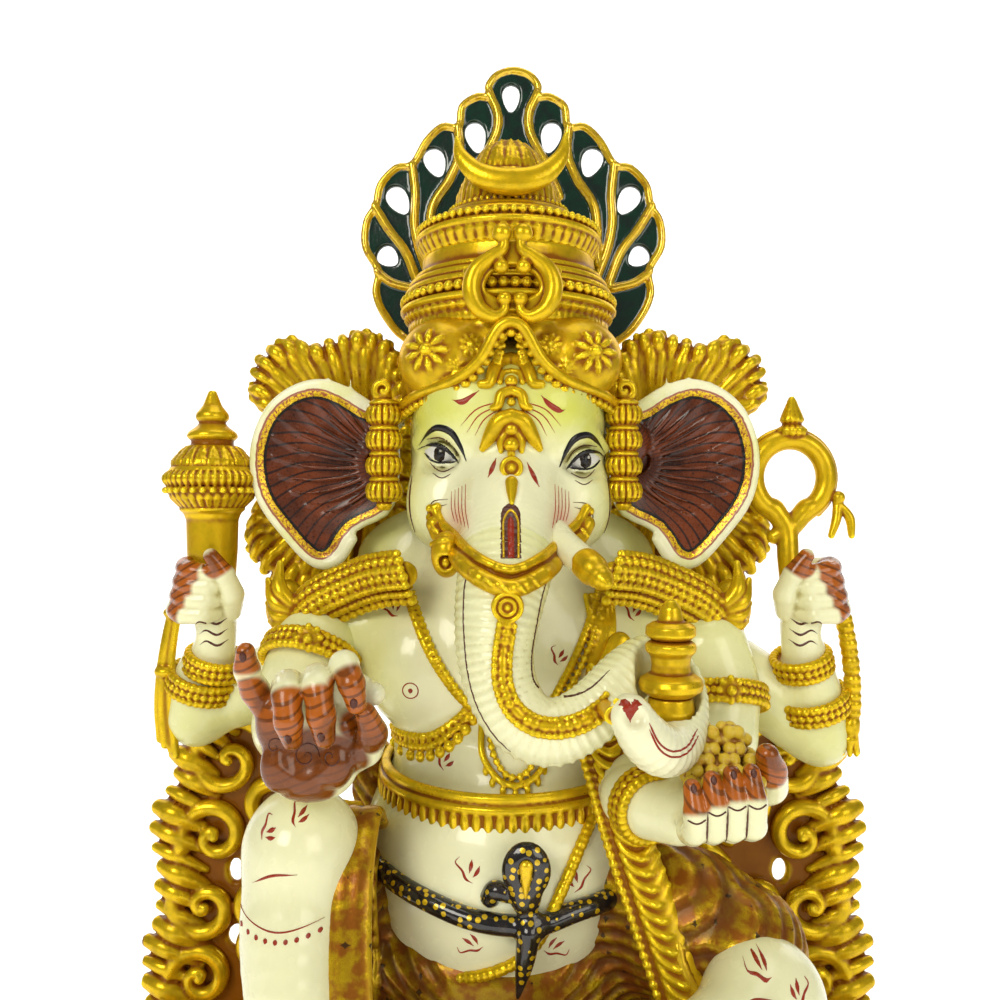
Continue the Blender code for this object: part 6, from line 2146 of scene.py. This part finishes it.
# ------------------------------------------------------------- painted lines
class IDOL_OT_painting(bpy.types.Operator):
    """Paint the eyes, brows, forehead mark, flourishes and henna lines"""
    bl_idname = "idol.painting"
    bl_label = "Painted Lines"

    def execute(self, context):
        self.unit = sizes().line_width / MM
        objects = bpy.data.objects
        face = Brush(objects["head_cast"], objects["trunk_cast"])
        self.eyes(face)
        self.forehead(face)
        self.tilak(face)
        self.cheeks(face)
        self.trunk_lines(face)
        body = Brush(objects["torso_cast"])
        self.belly(body)
        limbs = Brush(objects["leg_cast_left"], objects["leg_cast_right"], objects["arm_front_cast_right"],
                      objects["arm_front_cast_left"], objects["arm_back_cast_left"],
                      objects["arm_back_cast_right"])
        self.limbs(limbs)
        return {"FINISHED"}

    @staticmethod
    def around(side, x, z, lean):
        """Places points by their distance outwards and upwards from an eye's middle."""
        return lambda dx, dz, *width: (x + side * dx, z + dz - lean * 0.12 * dx) + width

    def eyes(self, brush):
        eyes = ((-1, -25.3, 286.9, 0.0), (1, 27.9, 284.5, 0.3))
        for side, x, z, lean in eyes:
            at = self.around(side, x, z, lean)
            brush.stroke([at(-6.0, -2.8, 0.15), at(-3.6, -1.4, 0.62), at(0, 0.0, 1.0), at(3.0, 0.7, 0.8),
                          at(5.6, 1.2, 0.2)], 5.6, 0.12, (0, 0), 8, 0.4)
        brush.finish("eye_whites", "eye_white")
        for _, x, z, _ in eyes:
            brush.disc(x, z, 2.9, 0.24)
        brush.finish("irises", "iris_brown")
        for side, x, z, lean in eyes:
            at = self.around(side, x, z, lean)
            brush.disc(x, z - 0.1, 1.9, 0.5)
            brush.stroke([at(-7.4, -3.9, 0.5), at(-3.6, 0.6, 1.0), at(0.2, 3.0, 1.4), at(3.4, 3.4, 1.1),
                          at(6.4, 2.9, 0.7)], 1.35, 0.45, (0.12, 0.2))
            brush.stroke([at(-6.2, -3.0), at(-2.8, -3.3), at(0.6, -3.2), at(3.2, -2.2), at(5.6, 0.4)], 0.8,
                         0.35, (0.1, 0.2))
            brush.stroke([at(-10.2, -3.2, 0.35), at(-7.9, 2.2, 0.8), at(-4.6, 7.0, 1.2), at(0.4, 8.8, 1.15),
                          at(4.6, 6.8, 0.7), at(8.0, 3.4, 0.35)], 2.1, 0.3, (0.2, 0.25), 5)
            brush.stroke([at(6.0, 3.0, 0.8), at(8.6, 2.0, 0.3)], 0.7, 0.3)
        brush.finish("eye_liner", "black_line", "black_enamel")
        # painted glints: a small white dot high in each iris
        for _, x, z, _ in eyes:
            brush.disc(x + 0.7, z + 0.9, 0.5, 0.9)
        brush.finish("eye_lights", "eye_white")
        for side, x, z, lean in eyes:
            at = self.around(side, x, z, lean)
            for points in ([at(-7.0, -0.6), at(-4.0, 3.4), at(-0.3, 5.4), at(4.6, 5.4)],
                           [at(-5.6, -5.0), at(-1.6, -6.6), at(1.6, -5.4), at(3.8, -3.0)],
                           [at(-4.4, -7.6), at(-1.0, -9.0), at(2.4, -7.2)]):
                brush.stroke(points, self.unit * 0.75, 0.15)
        brush.finish("eye_creases", "brown_line")

    def forehead(self, brush):
        for side in (-1, 1):
            for points in ([(3.5, 303), (11, 299.5), (15.5, 293.5)],
                           [(3.6, 301.8), (9.3, 298), (12.6, 292.5)],
                           [(3.4, 300.5), (8.0, 296), (9.8, 290.6, 1.8)],
                           [(5, 304), (12, 301.5), (17.5, 296)]):
                brush.stroke([(side * p[0] + 0.5, p[1]) + tuple(p[2:]) for p in points], self.unit * 0.85,
                             0.14, (0.2, 0.4))
        brush.finish("forehead_hairlines", "fine_red_line")
        brush.stroke([(-20, 305, 0.3), (-16.5, 304.2, 1.3), (-13.6, 306, 0.8), (-10.5, 308.2, 0.3)], 1.8,
                     0.2)
        brush.stroke([(11, 306.4, 0.3), (14, 303.2, 1.2), (17.6, 301.2, 1.2), (19.4, 301.6, 0.3)], 1.8, 0.2)
        brush.stroke([(-4.6, 284.6, 0.3), (-6.0, 280.9, 1.2), (-7.4, 277.6, 0.2)], 1.5, 0.2)
        brush.stroke([(6.0, 283.0, 0.3), (8.2, 278.4, 1.2), (10.0, 274.4, 0.2)], 1.5, 0.2)
        brush.finish("forehead_strokes", "red_line")

    def tilak(self, brush):
        arch = [(0.2, 268.8, 0.25), (0.2, 267.6, 0.72), (0.2, 265.4, 0.98), (0.2, 261, 1.0),
                (0.2, 256, 1.0), (0.2, 251.5, 1.0)]
        brush.stroke(arch, 7.2, 0.10, (0, 0), 10, 0.5)
        brush.finish("tilak_ground", "brown_line")
        brush.stroke([(-2.1, 251.5), (-2.2, 258), (-2.0, 263.6), (0.2, 266.6), (2.4, 263.6), (2.6, 258),
                      (2.5, 251.5)], 0.85, 0.42, (0, 0))
        brush.finish("tilak_gold", "gold_line", "gold_paint")
        brush.stroke([(0.2, 264.4, 0.3), (0.2, 262.4, 1.0), (0.2, 256, 1.0), (0.2, 251.5, 1.0)], 2.4, 0.36,
                     (0, 0), 6, 0.5)
        brush.finish("tilak_heart", "red_line")

    def cheeks(self, brush):
        for side in (-1, 1):
            for points in ([(22.2, 270.2), (27.6, 269.4), (29.6, 264.6), (27.0, 260.4)],
                           [(22.6, 268.4), (26.0, 267.2), (26.8, 263.0), (25.2, 260.2)],
                           [(36.4, 279, 1.6), (36.9, 272, 1.8), (36.6, 265, 1.6), (35.0, 258, 0.8)]):
                brush.stroke([(side * p[0] + 0.4, p[1] - (side > 0)) + tuple(p[2:]) for p in points],
                             self.unit * 0.75, 0.15)
        brush.finish("cheek_lines", "brown_line")
        for side in (-1, 1):
            for k in range(5):
                x = 15.6 + 1.3 * k
                brush.stroke([(side * x + 0.3, 275.5 - 0.6 * k), (side * (x - 0.2) + 0.3, 267),
                              (side * (x - 1.6) + 0.3, 260.5 + 0.5 * k)], self.unit * 0.5, 0.12, (0.5, 0.1))
        brush.finish("cheek_hairlines", "fine_red_line")

    def trunk_lines(self, brush):
        brush.stroke([(-12.6, 248), (-14.4, 243.5), (-14.8, 236), (-14.6, 229), (-13.4, 217), (-10.6, 207),
                      (-5.6, 198.4), (0, 192.8)], self.unit * 0.8, 0.16, (0.05, 0.1))
        brush.stroke([(12.8, 246), (10.4, 240), (8.2, 230), (6.6, 220), (7.4, 213.4), (11.6, 209.4),
                      (17, 209), (24, 211.6), (31, 217)], self.unit * 0.8, 0.16, (0.05, 0.1))
        brush.finish("trunk_edge_lines", "brown_line")
        for shift in (0.0, 1.7):
            brush.stroke([(39.2, 206.4 - shift), (42.2, 200.6 - shift), (46.5, 197.6 - shift),
                          (52.0, 197.8 - shift), (56.4, 200.8 - shift)], self.unit * 1.15, 0.18, (0.1, 0.1))
        brush.stroke([(30.8, 211.0, 0.3), (32.3, 211.6, 1.3), (33.6, 209.6, 1.1), (34.0, 206.2, 0.2)], 2.5,
                     0.2)
        brush.stroke([(37.4, 211.2, 0.3), (35.8, 211.6, 1.3), (34.5, 209.6, 1.1), (34.0, 206.2, 0.2)], 2.5,
                     0.2)
        brush.finish("trunk_tip_lines", "red_line")

    def flourish(self, brush, x, z, size, lean=0.0, flip=1):
        """A hooked stroke between two teardrops."""
        turn = lambda dx, dz, *w: (x + size * flip * (dx * math.cos(lean) - dz * math.sin(lean)),
                                   z + size * (dx * math.sin(lean) + dz * math.cos(lean))) + w
        brush.stroke([turn(-0.5, 1.2, 0.5), turn(-1.0, 0.6, 0.6), turn(-0.2, -0.2, 1.0),
                      turn(0.2, -1.0, 1.2), turn(1.0, -1.4, 0.4)], 0.9, 0.16)
        brush.stroke([turn(0.9, 1.1, 0.3), turn(0.8, 0.4, 1.4), turn(0.6, -0.4, 0.3)], 1.1, 0.16)
        brush.stroke([turn(1.8, 0.5, 0.3), turn(1.5, -0.2, 1.3), turn(1.0, -0.8, 0.3)], 1.1, 0.16)

    def belly(self, brush):
        for spot in ((-15.5, 145, 3.0), (25.0, 140.5, 3.0, 0.0, -1), (-14.0, 118, 3.0, 1.2),
                     (16.5, 116, 3.0, 1.2, -1), (-45.5, 229, 2.7, 0.4), (45.5, 229, 2.6, -0.3),
                     (-24.5, 177.5, 2.6, -0.4), (17.0, 214, 2.4, -0.4)):
            self.flourish(brush, *spot)
        x, z = -36.0, 200.4
        circle = []
        for k in range(13):
            angle = TAU * k / 12
            circle.append((x + 2.9 * math.cos(angle), z + 2.9 * math.sin(angle)))
        brush.stroke(circle, 0.5, 0.15, (0, 0))
        brush.disc(x, z, 0.9, 0.3)
        brush.finish("body_strokes", "red_line")

    def limbs(self, brush):
        self.flourish(brush, -77, 167, 2.3, -0.9)
        self.flourish(brush, -68, 171, 2.2, -0.5)
        for k in range(9):
            brush.disc(-84.5 + 3.2 * k, 137 - 1.6 * math.sin(k / 8 * math.pi), 0.75, 0.2)
        brush.stroke([(-86, 141, 0.5), (-72, 138, 1), (-58, 140, 0.5)], self.unit, 0.16)
        brush.stroke([(-81, 150, 0.4), (-74, 153.5, 1.1), (-66, 154, 0.4)], 0.9, 0.16)
        self.flourish(brush, 75, 126.5, 2.3, 0.7)
        self.flourish(brush, 88, 122, 2.3, 0.2, -1)
        brush.stroke([(66, 119, 0.4), (72, 121.5, 1.1), (80, 121, 0.4)], 0.9, 0.16)
        brush.finish("limb_strokes", "red_line")
        for k, rise in enumerate((0, 2.4, 4.0, 4.4)):
            x = 53.2 + 5.8 * k
            brush.disc(x - 0.4, 186.4 + rise, 1.25, 0.3, 0.8)
            brush.stroke([(x - 2.4, 177.8 + rise), (x, 177.0 + rise), (x + 2.6, 178 + rise)], self.unit,
                         0.2, (0, 0))
            if k:
                brush.stroke([(x - 2.6, 178 + rise, 0.6), (x - 2.2, 173 + rise * 0.3),
                              (x - 1.8, 169.5, 0.5)],
                             self.unit * 1.2, 0.2)
        for x, z in ((-64.2, 201.4), (-54.7, 201.9), (-79.6, 223.4), (-45.3, 211.6)):
            brush.disc(x, z, 1.5, 0.3, 0.8)
        for x, z, size, turns in ((-62, 192.5, 4.4, 1.6), (-71, 196, 3.0, 1.3), (-54, 193, 2.8, -1.3)):
            brush.stroke([(x + size * (1 - t / 14) * math.cos(turns * TAU * t / 14),
                           z + size * (1 - t / 14) * math.sin(turns * TAU * t / 14)) for t in range(14)],
                         self.unit * 0.8, 0.16)
        for side in (-1, 1):
            for k in range(3):
                z = 223 - 4.2 * k
                brush.stroke([(side * 108.5, z + 1.5, 0.4), (side * 112, z - 0.6, 1.2),
                              (side * 116, z + 1.2, 0.9), (side * 119, z - 0.4, 0.3)], 0.9, 0.16)
        brush.finish("henna_strokes", "brown_line")


# --------------------------------------------------------------------- stage
EYE = (-0.0033, -0.344, 0.270)      # where the camera stands, in metres, level with the heart
FOCAL_LENGTH = 32.4                 # millimetres, on a sensor 36 wide
WARM_WHITE = (1.0, 0.965, 0.86)
SKY_STRENGTH = 0.20
# name, place in metres, power in watts and size in metres
LAMPS = (("key_light", (-0.75, -1.35, 1.05), 13.0, 0.7),
         ("fill_light", (0.95, -1.25, 0.75), 6.4, 0.8),
         ("top_light", (0.1, 0.0, 1.45), 4.0, 0.8),
         ("rim_light_left", (-1.0, 0.9, 0.9), 1.7, 0.7),
         ("rim_light_right", (1.0, 0.9, 0.9), 1.7, 0.7))


class IDOL_OT_stage(bpy.types.Operator):
    """Set the pale floor, the soft lights and the camera"""
    bl_idname = "idol.stage"
    bl_label = "Stage"

    def execute(self, context):
        self.sweep()
        for lamp in LAMPS:
            self.light(*lamp)
        world = bpy.data.worlds.new("studio")
        world.use_nodes = True
        sky = world.node_tree.nodes["Background"]
        sky.inputs["Color"].default_value = (1.0, 1.0, 1.0, 1.0)
        sky.inputs["Strength"].default_value = SKY_STRENGTH
        context.scene.world = world
        context.scene.view_settings.view_transform = "Standard"
        lens = bpy.data.cameras.new("camera")
        lens.lens = FOCAL_LENGTH
        lens.sensor_width = 36.0
        lens.clip_start = 0.01
        camera = bpy.data.objects.new("camera", lens)
        camera.location = EYE
        camera.rotation_euler = (math.pi / 2, 0.0, 0.0)
        context.scene.collection.objects.link(camera)
        context.scene.camera = camera
        return {"FINISHED"}

    def sweep(self):
        """A floor that curves up into a backdrop."""
        path = [(-1.6, 0.0), (-0.2, 0.0), (0.75, 0.0), (1.05, 0.04), (1.3, 0.16), (1.45, 0.4),
                (1.5, 0.8), (1.5, 2.2)]
        route = smooth_route([(0.0, y, z) for y, z in path], 0.04)
        points = []
        faces = []
        for index, (_, y, z) in enumerate(route):
            points += [(-2.2, y, z), (2.2, y, z)]
            if index:
                k = index * 2
                faces.append((k - 2, k - 1, k + 1, k))
        floor = mesh_piece("studio_sweep", np.array(points), faces, "studio_paper")

    def light(self, name, place, power, size):
        """A soft square light aimed at the middle of the idol."""
        lamp = bpy.data.lights.new(name, "AREA")
        lamp.energy = power
        lamp.color = WARM_WHITE
        lamp.size = size
        holder = bpy.data.objects.new(name, lamp)
        holder.location = place
        aim = Vector((0.0, 0.0, 0.25)) - Vector(place)
        holder.rotation_euler = aim.to_track_quat("-Z", "Y").to_euler()
        bpy.context.scene.collection.objects.link(holder)


class IDOL_PT_panel(bpy.types.Panel):
    """Everything that can be cast again, in the sidebar"""
    bl_idname = "IDOL_PT_panel"
    bl_label = "Ganesha Idol"
    bl_space_type = "VIEW_3D"
    bl_region_type = "UI"
    bl_category = "Idol"

    def draw(self, context):
        layout = self.layout
        for group in (context.scene.idol_colours, context.scene.idol_sizes):
            for name in group.bl_rna.properties.keys():
                if name not in ("rna_type", "name"):
                    layout.prop(group, name)
        for operator in OPERATORS:
            layout.operator(operator.bl_idname)


OPERATORS = (
    IDOL_OT_finishes,
    IDOL_OT_head,
    IDOL_OT_ears,
    IDOL_OT_tusks,
    IDOL_OT_crown,
    IDOL_OT_fan,
    IDOL_OT_torso,
    IDOL_OT_back_arms,
    IDOL_OT_front_arms,
    IDOL_OT_hand_goods,
    IDOL_OT_legs,
    IDOL_OT_dhoti,
    IDOL_OT_backdrop,
    IDOL_OT_base,
    IDOL_OT_face_gold,
    IDOL_OT_body_gold,
    IDOL_OT_bangles,
    IDOL_OT_painting,
    IDOL_OT_stage,
)


def register():
    for group in (IdolColours, IdolSizes) + OPERATORS + (IDOL_PT_panel,):
        bpy.utils.register_class(group)
    bpy.types.Scene.idol_colours = PointerProperty(type=IdolColours)
    bpy.types.Scene.idol_sizes = PointerProperty(type=IdolSizes)


def unregister():
    del bpy.types.Scene.idol_sizes
    del bpy.types.Scene.idol_colours
    for group in (IDOL_PT_panel,) + OPERATORS[::-1] + (IdolSizes, IdolColours):
        bpy.utils.unregister_class(group)


def main():
    register()
    for operator in OPERATORS:
        getattr(bpy.ops.idol, operator.bl_idname.split(".")[1])()


if __name__ == "__main__":
    main()
